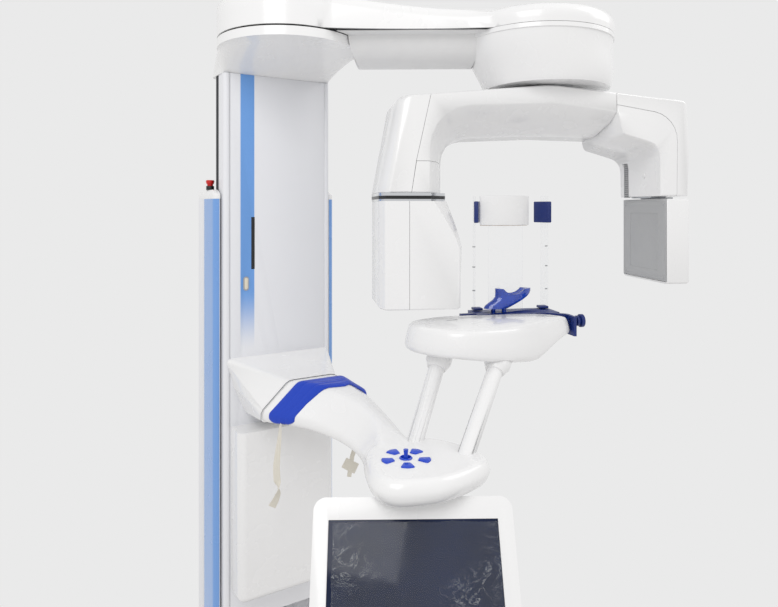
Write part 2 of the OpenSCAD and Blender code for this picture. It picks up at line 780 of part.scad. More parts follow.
// Band of three thin rings between the arm and the head
module tube_band() {
    outline = rounded([[-378, -carm_half, 8], [-282, -carm_half, 6], [-238, -44, 30],
        [-234, carm_half, 14], [-393, carm_half, 14], [-393, -66, 20]]);
    color("silver") in_carm() difference() {
        translate([0, 0, band_z[0]]) linear_extrude(band_z[1] - band_z[0]) polygon(outline);
        translate([-367, -31, band_z[0] - 1]) cube([38, 92, 30]);
    }
}

// Tube housing with its end caps, and the collimator in front of it
module tube_insert() {
    a = -292;
    z = 1430;
    color("slategray") in_carm() {
        translate([a, 78, z]) rotate([90, 0, 0]) cylinder(d = 100, h = 150);
        for (y = [-74, 78]) translate([a, y + 5, z]) rotate([90, 0, 0]) cylinder(d = 80, h = 9);
        translate([-346, -30, z - 30]) cube([20, 90, 60]);
        difference() {
            translate([-250, -29, z - 36]) cube([27, 58, 62]);
            translate([-251, -8, z - 24]) cube([29, 16, 40]);
        }
    }
}

// Sensor head: rounded box behind the plate
module sensor_head() {
    a0 = plate_a + 4;
    r = 10;
    d = 2 * carm_half + 10;
    color("white") in_carm() difference() {
        union() {
            translate([0, 0, sensor_z[0] + 3]) linear_extrude(sensor_z[1] - sensor_z[0] - 6)
                round_rect(a0 - 6, -d / 2, sensor_out - a0 + 6, d, r);
            translate([0, 0, sensor_z[0]]) linear_extrude(sensor_z[1] - sensor_z[0])
                round_rect(a0 - 3, -d / 2 + 3, sensor_out - a0, d - 6, r - 3);
        }
        translate([a0 - 20, -plate_w / 2 - 1, sensor_z[0] - 1 + 5]) cube([20, plate_w + 2, plate_h + 4]);
        translate([a0 + 18, -carm_half + 4, sensor_z[0] + 8])
            cube([sensor_out - a0 - 22, 2 * carm_half - 8, sensor_z[1] - sensor_z[0] - 16]);
        translate([285.5, -60.5, sensor_z[1] - 20]) cube([15, 121, 40]);
    }
}

// Grey plate with a raised border, a recessed window and four screws
module sensor_plate() {
    z0 = sensor_z[0] + 5 + 1;
    border = 34;
    color("darkgray") in_carm() translate([plate_a, 0, z0 + plate_h / 2]) {
        difference() {
            translate([0, -plate_w / 2, -plate_h / 2]) cube([4, plate_w, plate_h]);
            translate([-1, -plate_w / 2 + border, -plate_h / 2 + border - 12])
                cube([2.2, plate_w - 2 * border, plate_h - 2 * border + 14]);
        }
        for (i = [-1, 1], j = [-1, 1])
            translate([-1.2, i * (plate_w / 2 - 10), j * (plate_h / 2 - 10)]) rotate([0, 90, 0])
                cylinder(d = 7, h = 2);
    }
}

// Corners of the support arm's section, q from 0 at the block to 1 at the pad, moved in by t
function arm_left(q) = mix(-103, 24, sin(120 * q));
function arm_right(q) = 134 - 50 * pow(q, 3);
function ease(q) = (1 - cos(180 * q)) / 2;
function arm_corners(q, t = 0) = let (l = arm_left(q) + t, r = arm_right(q) - t,
    hi = mix(arm_top_z, pad_z + 1, ease(q)) - t, lo = mix(arm_low_z, pad_z - pad_t, ease(q)) + t)
    [[l, lo, 12], [r - 8, lo, 14], [r, hi - mix(42, 16, q), 22], [r - mix(62, 26, q), hi, 22],
        [l + mix(64, 34, q), hi, 22], [l, lo + mix(26, 18, q), 12]];
function arm_ring(q, t = 0) = [for (p = rounded(arm_corners(q, t), 4)) [p[0], mix(arm_y[0], arm_y[1], q), p[1]]];

// Block that carries the support arm on the moving column
module arm_block() {
    foot = [[-84, 1052, 20], [112, 1052, 20], [133, 1110, 30], [133, 1192, 10], [-133, 1192, 10], [-114, 1122, 40]];
    color("white") loft([[for (p = rounded(foot, 4)) [p[0], panel_y, p[1]]],
        [for (p = arm_ring(0)) [p[0], arm_y[0] + seam, p[2]]]]);
}

module pad_hull() {
    hull() {
        translate([14, -580, pad_z - pad_t]) cylinder(r = 40, h = 1, $fn = 32);
        translate([90, -596, pad_z - pad_t]) cylinder(r = 62, h = 1, $fn = 32);
        translate([146, -612, pad_z - pad_t + 4]) cylinder(r = 48, h = 1, $fn = 32);
        translate([30, -588, pad_z - 14]) cylinder(r = 80, h = 1, $fn = 32);
        translate([150, -608, pad_z - 24]) cylinder(r = 58, h = 1, $fn = 32);
        translate([48, -506, pad_z - pad_t]) cylinder(r = 38, h = pad_t - 8, $fn = 32);
        translate([30, -586, pad_z - 1]) cylinder(r = 68, h = 1, $fn = 32);
        translate([122, -584, pad_z - 1]) cylinder(r = 58, h = 1, $fn = 32);
        translate([48, -506, pad_z - 1]) cylinder(r = 30, h = 1, $fn = 32);
    }
}

module support_arm() {
    color("white") difference() {
        union() {
            loft([for (i = [0:12]) arm_ring(i / 12)]);
            pad_hull();
        }
        for (k = [0:4]) at_button(k) translate([0, 0, pad_z - 12]) linear_extrude(20) button_outline(clear);
        translate([joy_at[0], joy_at[1], pad_z - 24]) cylinder(d = joy_d + 0.6, h = 30);
        translate([screen_at[0], screen_at[1], pad_z - pad_t - 1]) cylinder(d = stem_d + 2 * run_gap, h = stem_h + 1.3);
        for (i = [0, 1]) post_axis(i) translate([0, 0, -post_seat]) cylinder(d = post_d + 0.6, h = 60);
    }
}

joy_at = [46, -589];
joy_d = 24;
joy_z = pad_z - 8;
ball_r = 9;

module at_button(k) {
    a = 26 + 72 * k;
    translate([joy_at[0] + 33 * cos(a), joy_at[1] + 33 * sin(a), 0]) rotate([0, 0, a]) children();
}

// Button outline: wide outside, narrow towards the middle
module button_outline(g) {
    polygon(rounded([[-9 - g, -6 - g, 2], [10 + g, -13 - g, 3], [14 + g, 0, 14], [10 + g, 13 + g, 3],
        [-9 - g, 6 + g, 2]], 4));
}

module pad_button(k) {
    color("#0F47D0") at_button(k) translate([0, 0, pad_z - 8]) linear_extrude(10) button_outline(0);
}

module pad_button_1() { pad_button(0); }

module pad_button_2() { pad_button(1); }

module pad_button_3() { pad_button(2); }

module pad_button_4() { pad_button(3); }

module pad_button_5() { pad_button(4); }

pin_d = 2;

module joystick_socket() {
    color("#0F47D0") translate([joy_at[0], joy_at[1], 0]) difference() {
        union() {
            translate([0, 0, pad_z - 23]) cylinder(d = joy_d, h = 24);
            translate([0, 0, pad_z + 1]) cylinder(d1 = joy_d, d2 = joy_d - 3, h = 1.5);
        }
        translate([0, 0, joy_z - 6]) cylinder(r = ball_r + 0.4, h = 30);
        translate([-joy_d, 0, joy_z]) rotate([0, 90, 0]) cylinder(d = pin_d + 2 * run_gap, h = 2 * joy_d);
    }
}

// Ring that lets the stick lean both ways, on two pins in the socket
module joystick_ring() {
    ring_r = 7;
    color("silver") translate([joy_at[0], joy_at[1], joy_z]) {
        difference() {
            translate([0, 0, -2]) cylinder(r = ring_r, h = 4);
            translate([0, 0, -3]) cylinder(r = ring_r - 2.4, h = 6);
            translate([0, joy_d, 0]) rotate([90, 0, 0]) cylinder(d = pin_d + 2 * run_gap, h = 2 * joy_d);
        }
        for (i = [-1, 1]) translate([i * (joy_d / 2 + ring_r - 1) / 2, 0, 0]) rotate([0, 90, 0])
            cylinder(d = pin_d, h = joy_d / 2 - ring_r + 1, center = true);
    }
}

// Stick with its pins and the cap that closes the socket
module joystick() {
    color("#0A2A9A") translate([joy_at[0], joy_at[1], joy_z]) {
        translate([0, 6.4, 0]) rotate([90, 0, 0]) cylinder(d = pin_d, h = 12.8);
        cylinder(d = 4, h = ball_r);
        difference() {
            sphere(ball_r);
            sphere(ball_r - 1.2);
            translate([-20, -20, -20]) cube([40, 40, 20 + ball_r * cos(55)]);
        }
        translate([0, 0, ball_r - 1]) cylinder(d1 = 10, d2 = 7.5, h = 7);
        translate([0, 0, ball_r + 6]) cylinder(d1 = 7.5, d2 = 9, h = 9);
    }
}

// Axis of a post that stands on the pad and leans to the table
function post_lean(i) = post_head[i] - post_foot[i];
function post_len(i) = norm([post_lean(i)[0], post_lean(i)[1], table_z0 - pad_z]);

module post_axis(i) {
    v = post_lean(i);
    translate([post_foot[i][0], post_foot[i][1], pad_z])
        rotate([0, atan2(norm(v), table_z0 - pad_z), atan2(v[1], v[0])]) children();
}

module posts() {
    color("white") for (i = [0, 1]) post_axis(i) {
        translate([0, 0, -post_seat]) cylinder(d = post_d, h = post_len(i) + post_seat);
        translate([0, 0, post_len(i) - 32]) cylinder(d1 = post_d + 6, d2 = collar_d, h = 16);
        translate([0, 0, post_len(i) - 16]) cylinder(d = collar_d, h = 16 + collar_in);
    }
}

// Patient table, drawn in its own frame: x across, y towards the patient
module in_table() {
    translate([table_at[0], table_at[1], 0]) rotate([0, 0, table_angle]) children();
}

// Smooth closed curve through the points of v
function spline(v, n) = let (m = len(v)) [for (i = [0:m - 1], k = [0:n - 1])
    let (t = k / n, a = v[(i + m - 1) % m], b = v[i], c = v[(i + 1) % m], d = v[(i + 2) % m])
    (2 * b + (c - a) * t + (2 * a - 5 * b + 4 * c - d) * t * t + (3 * b - a - 3 * c + d) * t * t * t) / 2];

table_edge = [[-196, -14], [-166, -72], [-112, -112], [-46, -114], [31, -88], [115, -33], [186, 8],
    [190, 40], [150, 78], [51, 95], [-19, 98], [-120, 82], [-186, 40]];

// Height of the table's underside across its width
function table_low(x) = x < 80 ? table_z - mix(57, 82, max(0, min(1, (x + 110) / 190)))
    : table_z - mix(82, 40, ease(min(1, (x - 80) / 112)));

// Table outline at the share q of its height, moved in by t
function table_ring(q, t) = [for (p = spline(table_edge, 4)) let (v = p * (1 - t / norm(p)))
    [v[0], v[1], mix(table_low(p[0]), table_z, q)]];

module table_body() {
    steps = [[0, 12], [0.03, 6], [0.09, 2], [0.2, 0], [0.5, 2.5], [0.8, 7], [0.91, 9.5], [0.97, 14], [1, 21]];
    color("white") difference() {
        in_table() difference() {
            loft([for (s = steps) table_ring(s[0], s[1])]);
            translate([rail_x0 - 1, head_dep - 54, table_z - plate_in]) cube([rail_l + 2, 80, 40]);
            translate([0, 0, table_z - 44]) linear_extrude(60) polygon(rounded(inset(rear_edge, -clear, 1), 5));
        }
        for (i = [0, 1]) post_axis(i) translate([0, 0, post_len(i) - 60])
            cylinder(d = collar_d + 2 * clear, h = 60 + collar_in);
    }
}

head_lat = 50;
rail_x0 = -9;
rail_l = 205;
plate_in = 20;
stub_d = 11;
stub_x = [-10, 16.6];

// Outline of the dark band: near side, end cheek, far side
rear_edge = [[-176, 46, 6], [-116, 85, 65], [51, 97, 200], [154, 80, 55], [197, 47, 12], [199, 6, 3], [206, 6, 3],
    [206, 52, 14], [158, 92, 60], [50, 110, 200], [-118, 97, 70], [-184, 52, 3]];
knob_at = [208, 26, table_z - 12];
knob_stem = 12;

// Dark band along the far side, with the plate that carries the head rests
module table_rear() {
    color("#0A2A78") in_table() difference() {
        union() {
            translate([0, 0, table_z - 44]) linear_extrude(54) polygon(rounded(rear_edge, 5));
            translate([rail_x0, head_dep - 53, table_z - plate_in]) cube([rail_l, 73, plate_in + 2]);
        }
        for (x = stub_x) translate([head_lat + x, head_dep - 24, table_z - 6]) cylinder(d = stub_d + 2 * clear, h = 20);
        translate(knob_at) rotate([0, 90, 0]) translate([0, 0, -12]) cylinder(d = knob_stem + 2 * run_gap, h = 20);
    }
}

module width_knob() {
    color("#0A2A78") in_table() translate(knob_at) rotate([0, 90, 0]) {
        translate([0, 0, -8]) cylinder(d = knob_stem, h = 14);
        translate([0, 0, 5]) cylinder(d = 24, h = 6);
        translate([0, 0, 11]) cylinder(d1 = 24, d2 = 20, h = 3);
        translate([0, 0, 14]) cylinder(d = 30, h = 8);
    }
}

// Clear upright on a foot that slides on the plate, with a pad turned towards the head
module temple(side) {
    pad = [10, 50, 52];
    turn = 25;
    foot_z = table_z + 2 + clear;
    foot_w = 22;
    color("#0A2A78") in_table() translate([head_mid + side * (temple_gap + pad[0]) / 2, head_dep + 7, 0]) {
        rotate([0, 0, side * turn]) {
            translate([-pad[0] / 2, -pad[1] / 2, 1514]) cube(pad);
            translate([side * (pad[0] / 2 + 2) - 2, -foot_w / 2, foot_z]) cube([4, foot_w, 1580 - foot_z]);
        }
        translate([-foot_w / 2, -12, foot_z]) cube([foot_w, 24, 6]);
    }
}

module temple_left() { temple(-1); }

module temple_right() { temple(1); }

// Curved white rest that wraps the forehead, on a clear plate
module forehead_rest() {
    r = 150;
    a = 25;
    front = head_dep - 16;
    color("white") in_table() {
        translate([band_lat, front + r, 1508]) intersection() {
            tube(2 * r, 2 * r - 10, 0, 72);
            rotate([0, 0, a - 180]) cube([r, r, 72]);
            rotate([0, 0, -90 - a]) cube([r, r, 72]);
        }
        translate([band_lat - 44, front + 5.5, table_z + 2]) cube([88, 4, 1512 - table_z]);
    }
}

// Left and right edge of the chin cup at its height q from 0 to 1
cup_z = [table_z + 11, table_z + 58];
cup_dep = head_dep - 29;
function cup_left(q) = 14 + 29 * ease(min(1, q / 0.62));
function cup_right(q) = 74 + 58 * sin(90 * min(1, q / 0.9));
function cup_ring(q, t) = let (a = cup_left(q) + t, b = cup_right(q) - t, n = 32)
    [for (i = [0:n - 1]) [(a + b) / 2 + (b - a) / 2 * cos(360 * i / n),
        cup_dep + (mix(16, 18, q) - t) * sin(360 * i / n), mix(cup_z[0], cup_z[1], q)]];

// Chin cup on its two stubs
module chin_rest() {
    color("#2E4FC0") in_table() {
        for (x = stub_x) translate([head_lat + x, head_dep - 24, table_z - 6]) cylinder(d = stub_d, h = 20);
        difference() {
            loft([for (i = [0:7]) cup_ring(i / 7, 0)]);
            translate([86, cup_dep, cup_z[1] + 16]) sphere(34);
        }
    }
}

// Strip of elastic with its middle along the points of v, in x and z
module elastic(v, half) {
    rotate([90, 0, 0]) linear_extrude(1.6)
        polygon(concat([for (p = v) p - [half, 0]], [for (i = [len(v) - 1:-1:0]) v[i] + [half, 0]]));
}

// Padded strap laid over the support arm, with its two elastic ends hanging down
module head_strap() {
    t = 5;
    color("#0F47D0") difference() {
        intersection() {
            loft([for (i = [0:12]) arm_ring(i / 12, -t - clear)]);
            translate([0, 0, 1082]) linear_extrude(110) polygon(strap_edge);
        }
        loft([for (i = [-1:13]) arm_ring(i / 12, -clear)]);
    }
    color("ivory") {
        translate([-72, -273, 0]) rotate([0, 0, -47])
            elastic([[0, 1090], [-2, 1060], [-7, 1020], [-11, 987], [-9, 960], [-6, 936], [-12, 915], [-20, 895]], 9);
        translate([132.5, -273, 0]) rotate([0, 0, -31]) {
            elastic([[0, 1088], [1, 1060], [-8, 1025], [-22, 995], [-33, 968]], 4.5);
            elastic([[-33, 970], [-33, 921]], 20);
        }
    }
}

strap_edge = [[-110, -248], [-60, -252], [0, -256], [60, -257], [140, -262], [140, -285], [100, -296], [50, -312],
    [0, -306], [-40, -296], [-110, -290]];

// Screen: swivel and tilt under the pad
module in_screen() {
    translate([screen_at[0], screen_at[1], 0]) rotate([0, 0, screen_yaw]) children();
}

fork_w = 72;
ear = 10;
pivot_d = 8;

// Swivel stem with a fork that carries the tilt pin
module screen_yoke() {
    z0 = screen_pivot_z;
    z1 = pad_z - pad_t - 10;
    color("black") in_screen() {
        translate([0, 0, z1]) cylinder(d = 58, h = 10 - clear);
        translate([0, 0, z1 + 5]) cylinder(d = stem_d, h = 5 + stem_h);
        translate([-fork_w / 2, -9, z1]) cube([fork_w, 18, 6]);
        difference() {
            for (i = [-1, 1]) translate([i * (fork_w - ear) / 2 - ear / 2, -9, z0 - 9])
                cube([ear, 18, z1 + 6 - z0 + 9]);
            translate([-fork_w, 0, z0]) rotate([0, 90, 0]) cylinder(d = pivot_d + 2 * run_gap, h = 2 * fork_w);
        }
    }
}

module in_tilt() {
    in_screen() translate([0, 0, screen_pivot_z]) rotate([-screen_tilt, 0, 0]) children();
}

// Housing with its tilt pin on two lugs
module screen_housing() {
    back = 20;
    top = 10;
    lug = fork_w / 2 - ear - 0.6;
    color("white") in_tilt() {
        difference() {
            translate([0, -back, 0]) rotate([90, 0, 0]) linear_extrude(screen_t)
                round_rect(-screen_w / 2, top - screen_h, screen_w, screen_h, 22);
            translate([-screen_w / 2 + bezel[0], -back - screen_t - 1, top - screen_h + bezel[1]])
                cube([screen_w - 2 * bezel[0], 5, screen_h - 2 * bezel[1]]);
        }
        translate([-lug, -back - 1, -10]) cube([2 * lug, back + 8, 18]);
        rotate([0, 90, 0]) cylinder(d = pivot_d, h = fork_w, center = true);
    }
}

bezel = [27, 36];

module screen_glass() {
    color("#101C38") in_tilt()
        translate([-screen_w / 2 + bezel[0] + clear, -20 - screen_t, 10 - screen_h + bezel[1] + clear])
            cube([screen_w - 2 * bezel[0] - 2 * clear, 4, screen_h - 2 * bezel[1] - 2 * clear]);
}

base_plate();
base_skirt();
fixed_column();
side_strips();
column_cap();
wall_bracket();
guide_rails();
lift_drive();
stop_collar();
stop_button();
moving_column();
rail_carriages();
lift_rod();
front_panel();
start_ring();
start_button();
lower_cover();
shoulder_housing();
shoulder_bearing();
arm_frame();
arm_cover();
arm_belly();
rotation_housing();
rotation_bearing();
carm_frame();
beam_cover();
tube_arm_outer();
tube_arm_inner();
tube_band();
tube_head_outer();
tube_head_inner();
tube_insert();
sensor_arm_outer();
sensor_arm_inner();
vent_grille();
release_button();
sensor_head();
sensor_plate();
arm_block();
support_arm();
pad_button_1();
pad_button_2();
pad_button_3();
pad_button_4();
pad_button_5();
joystick_socket();
joystick_ring();
joystick();
posts();
table_body();
table_rear();
width_knob();
temple_left();
temple_right();
forehead_rest();
chin_rest();
head_strap();
screen_yoke();
screen_housing();
screen_glass();
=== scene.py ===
"""Looks of a column-mounted dental scanner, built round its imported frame.

Places are in the frame of the part: Z up the column, -Y out of its front. New forms are given in
millimetres and scaled by MM. Camera, lamps, frames of units and textures are in metres.
"""

import json
import math

import bpy
from mathutils import Matrix, Vector, noise

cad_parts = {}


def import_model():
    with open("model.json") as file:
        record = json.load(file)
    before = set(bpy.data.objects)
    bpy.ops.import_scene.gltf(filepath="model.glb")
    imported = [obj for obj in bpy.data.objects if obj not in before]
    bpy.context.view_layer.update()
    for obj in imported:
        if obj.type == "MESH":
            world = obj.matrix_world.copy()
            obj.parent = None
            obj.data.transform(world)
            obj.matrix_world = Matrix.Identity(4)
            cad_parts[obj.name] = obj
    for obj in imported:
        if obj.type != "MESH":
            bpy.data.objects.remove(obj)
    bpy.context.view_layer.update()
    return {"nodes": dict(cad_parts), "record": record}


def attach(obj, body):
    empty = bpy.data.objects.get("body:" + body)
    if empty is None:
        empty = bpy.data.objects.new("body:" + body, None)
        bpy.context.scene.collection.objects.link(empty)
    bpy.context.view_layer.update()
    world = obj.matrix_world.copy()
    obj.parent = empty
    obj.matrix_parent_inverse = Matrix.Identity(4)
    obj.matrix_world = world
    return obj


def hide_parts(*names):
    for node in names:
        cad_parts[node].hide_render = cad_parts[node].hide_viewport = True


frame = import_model()
bpy.ops.object.select_all(action="DESELECT")

MM = 0.001
record = frame["record"]
BODY_OF = {node: body for body, nodes in record["behaviour"]["bodies"].items() for node in nodes}
SLOT_OF = {row["node"]: row["material_slot"] for row in record["subparts"]}

# Frames of the turned units, as the part's source has them
TABLE = Matrix.Translation((0.34497, -0.48004, 0)) @ Matrix.Rotation(math.radians(-20), 4, "Z")
UPPER_ARM = Matrix.Translation((0, -0.143, 0)) @ Matrix.Rotation(math.radians(-32.4), 4, "Z")
SCREEN = (
    Matrix.Translation((0.056, -0.592, 1.004))
    @ Matrix.Rotation(math.radians(-30), 4, "Z")
    @ Matrix.Rotation(math.radians(-29), 4, "X")
)


# Camera and light
def camera():
    bpy.ops.object.camera_add(
        location=(-0.5874, -1.5752, 1.550), rotation=(math.pi / 2, 0, math.radians(-31.2))
    )
    eye = bpy.context.object
    eye.name = "photo_camera"
    eye.data.lens = 29.61
    eye.data.sensor_width = 36
    eye.data.shift_y = -0.1228
    bpy.context.scene.camera = eye


def lamp(name, place, target, size, power):
    """White soft lamp that faces its target"""
    bpy.ops.object.light_add(type="AREA", location=place)
    light = bpy.context.object
    light.name = name
    light.rotation_euler = (Vector(target) - Vector(place)).to_track_quat("-Z", "Y").to_euler()
    light.data.shape = "RECTANGLE"
    light.data.size, light.data.size_y = size
    light.data.energy = power


def add(material, kind, inputs=(), **settings):
    """Adds a node with its settings; inputs maps sockets to values or to sockets to link"""
    node = material.node_tree.nodes.new("ShaderNode" + kind)
    for key, value in settings.items():
        setattr(node, key, value)
    for key, value in dict(inputs).items():
        if isinstance(value, bpy.types.NodeSocket):
            material.node_tree.links.new(value, node.inputs[key])
        else:
            node.inputs[key].default_value = linear(value) if isinstance(value, str) else value
    return node


def linear(colour):
    """Linear RGBA of an sRGB hex colour"""
    parts = [int(colour[i : i + 2], 16) / 255 for i in (1, 3, 5)]
    return [c / 12.92 if c <= 0.04045 else ((c + 0.055) / 1.055) ** 2.4 for c in parts] + [1]


def finish(name, colour, roughness, **constants):
    """Material with a Principled shader whose plain values are set on its own sockets"""
    material = bpy.data.materials.new(name)
    material.use_nodes = True
    shader = material.node_tree.nodes["Principled BSDF"]
    shader.inputs["Base Color"].default_value = linear(colour)
    shader.inputs["Roughness"].default_value = roughness
    for key, value in constants.items():
        shader.inputs[key.replace("_", " ")].default_value = value
    return material


def feed(material, socket, source):
    """Links a node's output to the material's shader"""
    shader = material.node_tree.nodes["Principled BSDF"]
    material.node_tree.links.new(source, shader.inputs[socket])


def texture_space(material):
    return add(material, "TexCoord").outputs["Object"]


def grain(material, size, strength, depth):
    """Bump from a noise whose lumps are size metres across and depth metres high"""
    pattern = add(
        material,
        "TexNoise",
        {"Vector": texture_space(material), "Scale": 1 / size, "Detail": 2.0, "Roughness": 0.6},
    )
    height = pattern.outputs["Fac"]
    bump = add(material, "Bump", {"Strength": strength, "Distance": depth, "Height": height})
    feed(material, "Normal", bump.outputs["Normal"])


def uneven_gloss(material, size, low, high):
    """Roughness that drifts between low and high over size metres, as handling leaves it"""
    pattern = add(
        material, "TexNoise", {"Vector": texture_space(material), "Scale": 1 / size, "Detail": 3.0}
    )
    feed(material, "Roughness", ramp(material, pattern.outputs["Fac"], (0.3, 0.7), (low, high)))


def ramp(material, value, source, target, **settings):
    """Value moved from the source range into the target range"""
    step = add(
        material,
        "MapRange",
        {
            "Value": value, "From Min": source[0], "From Max": source[1],
            "To Min": target[0], "To Max": target[1],
        },
        **settings,
    )
    return step.outputs["Result"]


def calculated(material, operation, first, second):
    return add(material, "Math", {0: first, 1: second}, operation=operation).outputs[0]


def band(material, value, low, high, soft):
    """1 where value lies between low and high, with edges soft metres wide"""
    up = ramp(material, value, (low - soft, low), (0.0, 1.0))
    down = ramp(material, value, (high, high + soft), (1.0, 0.0))
    return calculated(material, "MULTIPLY", up, down)


def two_tones(material, share, dark, light):
    """Base colour between two tones by a share from 0 to 1"""
    blend = add(material, "Mix", {0: share, 6: dark, 7: light}, data_type="RGBA")
    feed(material, "Base Color", blend.outputs[2])


def faint_tones(material, dark, light, size):
    """Base colour that drifts between two close tones over size metres"""
    drift = add(
        material, "TexNoise", {"Vector": texture_space(material), "Scale": 1 / size, "Detail": 2.0}
    )
    two_tones(material, drift.outputs["Fac"], dark, light)


# Lacquered ABS: injection moulded, a deep even gloss over a very slight orange peel
def lacquered_abs():
    material = finish(
        "lacquered_abs_white", "#EFEFF0", 0.24, IOR=1.5, Coat_Weight=0.35, Coat_Roughness=0.08
    )
    faint_tones(material, "#EDEDEE", "#F2F2F2", 0.25)
    uneven_gloss(material, 0.06, 0.2, 0.3)
    grain(material, 0.004, 0.05, 0.0002)
    return material


# Powder-coated aluminium: rolled profile, semi-gloss with a fine even texture, drawn at 2.5 mm to show
def powder_coat():
    material = finish("powder_coated_aluminium_white", "#E9EAEE", 0.38, IOR=1.5)
    faint_tones(material, "#E6E7EB", "#ECEDF0", 0.3)
    grain(material, 0.0025, 0.12, 0.0002)
    return material


# The same coat with a printed stripe that fades out downwards
def striped_coat():
    material = finish("powder_coat_with_blue_stripe", "#E9EAEE", 0.34, IOR=1.5)
    place = add(material, "SeparateXYZ", {0: texture_space(material)})
    across = band(material, place.outputs["X"], -0.0975, -0.0635, 0.0005)
    fade = ramp(
        material, place.outputs["Z"], (1.2, 1.36), (0.0, 1.0), interpolation_type="SMOOTHSTEP"
    )
    two_tones(material, calculated(material, "MULTIPLY", across, fade), "#E9EAEE", "#6C9FE0")
    grain(material, 0.0025, 0.1, 0.0002)
    return material


# The moving profile: white coat in front, dark grey from Y -36 mm back to Y 20 mm, where it enters the
# fixed one
def coat_with_dark_band():
    material = finish("powder_coat_with_dark_band", "#E9EAEE", 0.4, IOR=1.5)
    place = add(material, "SeparateXYZ", {0: texture_space(material)})
    dark_band = band(material, place.outputs["Y"], -0.036, 0.02, 0.0005)
    two_tones(material, dark_band, "#E9EAEE", "#2B2D31")
    grain(material, 0.0025, 0.1, 0.0002)
    return material


# Blue polycarbonate strip: extruded, glossy, with faint draw lines along its length
def blue_extrusion():
    material = finish(
        "polycarbonate_strip_blue", "#6FA0DF", 0.22, IOR=1.58, Coat_Weight=0.4, Coat_Roughness=0.06
    )
    lines = add(material, "Mapping", {"Vector": texture_space(material), "Scale": (260, 260, 1.5)})
    streaks = add(material, "TexNoise", {"Vector": lines.outputs["Vector"], "Scale": 1.0, "Detail": 2.0})
    two_tones(material, streaks.outputs["Fac"], "#6999DA", "#78A7E4")
    uneven_gloss(material, 0.08, 0.18, 0.3)
    return material


# Moulded ABS in a colour: satin skin with a fine spark texture, drawn at 1.5 mm to show
def moulded(name, dark, light, low, high):
    material = finish(name, light, high, IOR=1.52)
    faint_tones(material, dark, light, 0.03)
    uneven_gloss(material, 0.03, low, high)
    grain(material, 0.0015, 0.12, 0.0002)
    return material


# Blue-tinted polycarbonate: clear moulding, its colour deepens where it is thick
def tinted_clear():
    material = finish(
        "polycarbonate_clear_blue", "#2450C8", 0.1, IOR=1.58, Transmission_Weight=0.45, Coat_Weight=0.5,
        Coat_Roughness=0.04,
    )
    faint_tones(material, "#1D45B8", "#2C59D2", 0.02)
    grain(material, 0.006, 0.04, 0.0003)
    return material


# Cast acrylic: colourless, its faces almost unseen; it is painted paler and more opaque where seen at a
# glancing angle, in place of the reflection there
def clear_acrylic():
    material = finish("acrylic_clear", "#F4F7FA", 0.04, IOR=1.49)
    faces = add(material, "LayerWeight", {"Blend": 0.25})
    # Opacity rising towards glancing angles: a painted reflection
    feed(material, "Alpha", ramp(material, faces.outputs["Facing"], (0.1, 1.0), (0.05, 0.4)))
    grain(material, 0.02, 0.03, 0.0003)
    return material


# Chromed brass ring with a black line along its middle
def banded_chrome():
    material = finish("chrome_plated_brass_band", "#D5D7DA", 0.12)
    height = add(material, "SeparateXYZ", {0: texture_space(material)}).outputs["Z"]
    black = band(material, height, 1.5695, 1.5765, 0.0003)
    two_tones(material, black, "#D5D7DA", "#0C0D0F")
    feed(material, "Metallic", calculated(material, "SUBTRACT", 1.0, black))
    feed(material, "Roughness", ramp(material, black, (0.0, 1.0), (0.12, 0.35)))
    return material


# Metal with a machined or brushed skin, its lines stretched along Z
def brushed(name, colour, roughness, spread):
    material = finish(name, colour, roughness, Metallic=1.0)
    lines = add(material, "Mapping", {"Vector": texture_space(material), "Scale": (700, 700, 12)})
    strokes = add(material, "TexNoise", {"Vector": lines.outputs["Vector"], "Scale": 1.0, "Detail": 3.0})
    rough = ramp(material, strokes.outputs["Fac"], (0.0, 1.0), (roughness - spread, roughness + spread))
    feed(material, "Roughness", rough)
    return material


# Woven polyester webbing: threads 1.2 mm apart, drawn at 2 mm to show
def woven(name, dark, light, thread, gloss):
    material = finish(name, light, gloss, IOR=1.46, Sheen_Weight=0.35, Sheen_Roughness=0.5)
    place = texture_space(material)
    waves = [
        add(
            material,
            "TexWave",
            {"Vector": place, "Scale": 1 / thread / math.pi, "Distortion": 0.6, "Detail": 1.0},
            bands_direction=axis,
        )
        for axis in ("X", "Z")
    ]
    cloth = calculated(material, "MULTIPLY", waves[0].outputs["Fac"], waves[1].outputs["Fac"])
    two_tones(material, cloth, dark, light)
    bump = add(material, "Bump", {"Strength": 0.5, "Distance": 0.0006, "Height": cloth})
    feed(material, "Normal", bump.outputs["Normal"])
    return material


# Cover glass over a dark display
def display_glass():
    material = finish("cover_glass_dark", "#0D1730", 0.07, IOR=1.4, Specular_IOR_Level=0.35)
    faint_tones(material, "#0A1226", "#152244", 0.09)
    uneven_gloss(material, 0.02, 0.05, 0.16)
    return material


# Polyethylene film: thin and clear; pale lines painted along its creases stand in for the glints on them
def film():
    material = finish("polyethylene_film_painted_glints", "#F2F6FA", 0.12, IOR=1.5)
    place = texture_space(material)
    folds = add(
        material,
        "TexNoise",
        {"Vector": place, "Scale": 26.0, "Detail": 6.0, "Roughness": 0.65, "Distortion": 1.6},
    )
    crease = calculated(material, "SUBTRACT", folds.outputs["Fac"], 0.5)
    thin = add(material, "Math", {0: crease}, operation="ABSOLUTE").outputs[0]
    # Pale lines along the creases: painted glints, more opaque than the clear film
    line = ramp(material, thin, (0.0, 0.006), (0.3, 0.0))
    where = add(material, "TexNoise", {"Vector": place, "Scale": 7.0, "Detail": 1.0})
    glint_patch = ramp(material, where.outputs["Fac"], (0.48, 0.62), (0.0, 1.0))
    drawn = calculated(material, "MULTIPLY", line, glint_patch)
    feed(material, "Alpha", calculated(material, "ADD", drawn, 0.02))
    bump = add(material, "Bump", {"Strength": 0.5, "Distance": 0.001, "Height": folds.outputs["Fac"]})
    feed(material, "Normal", bump.outputs["Normal"])
    return material


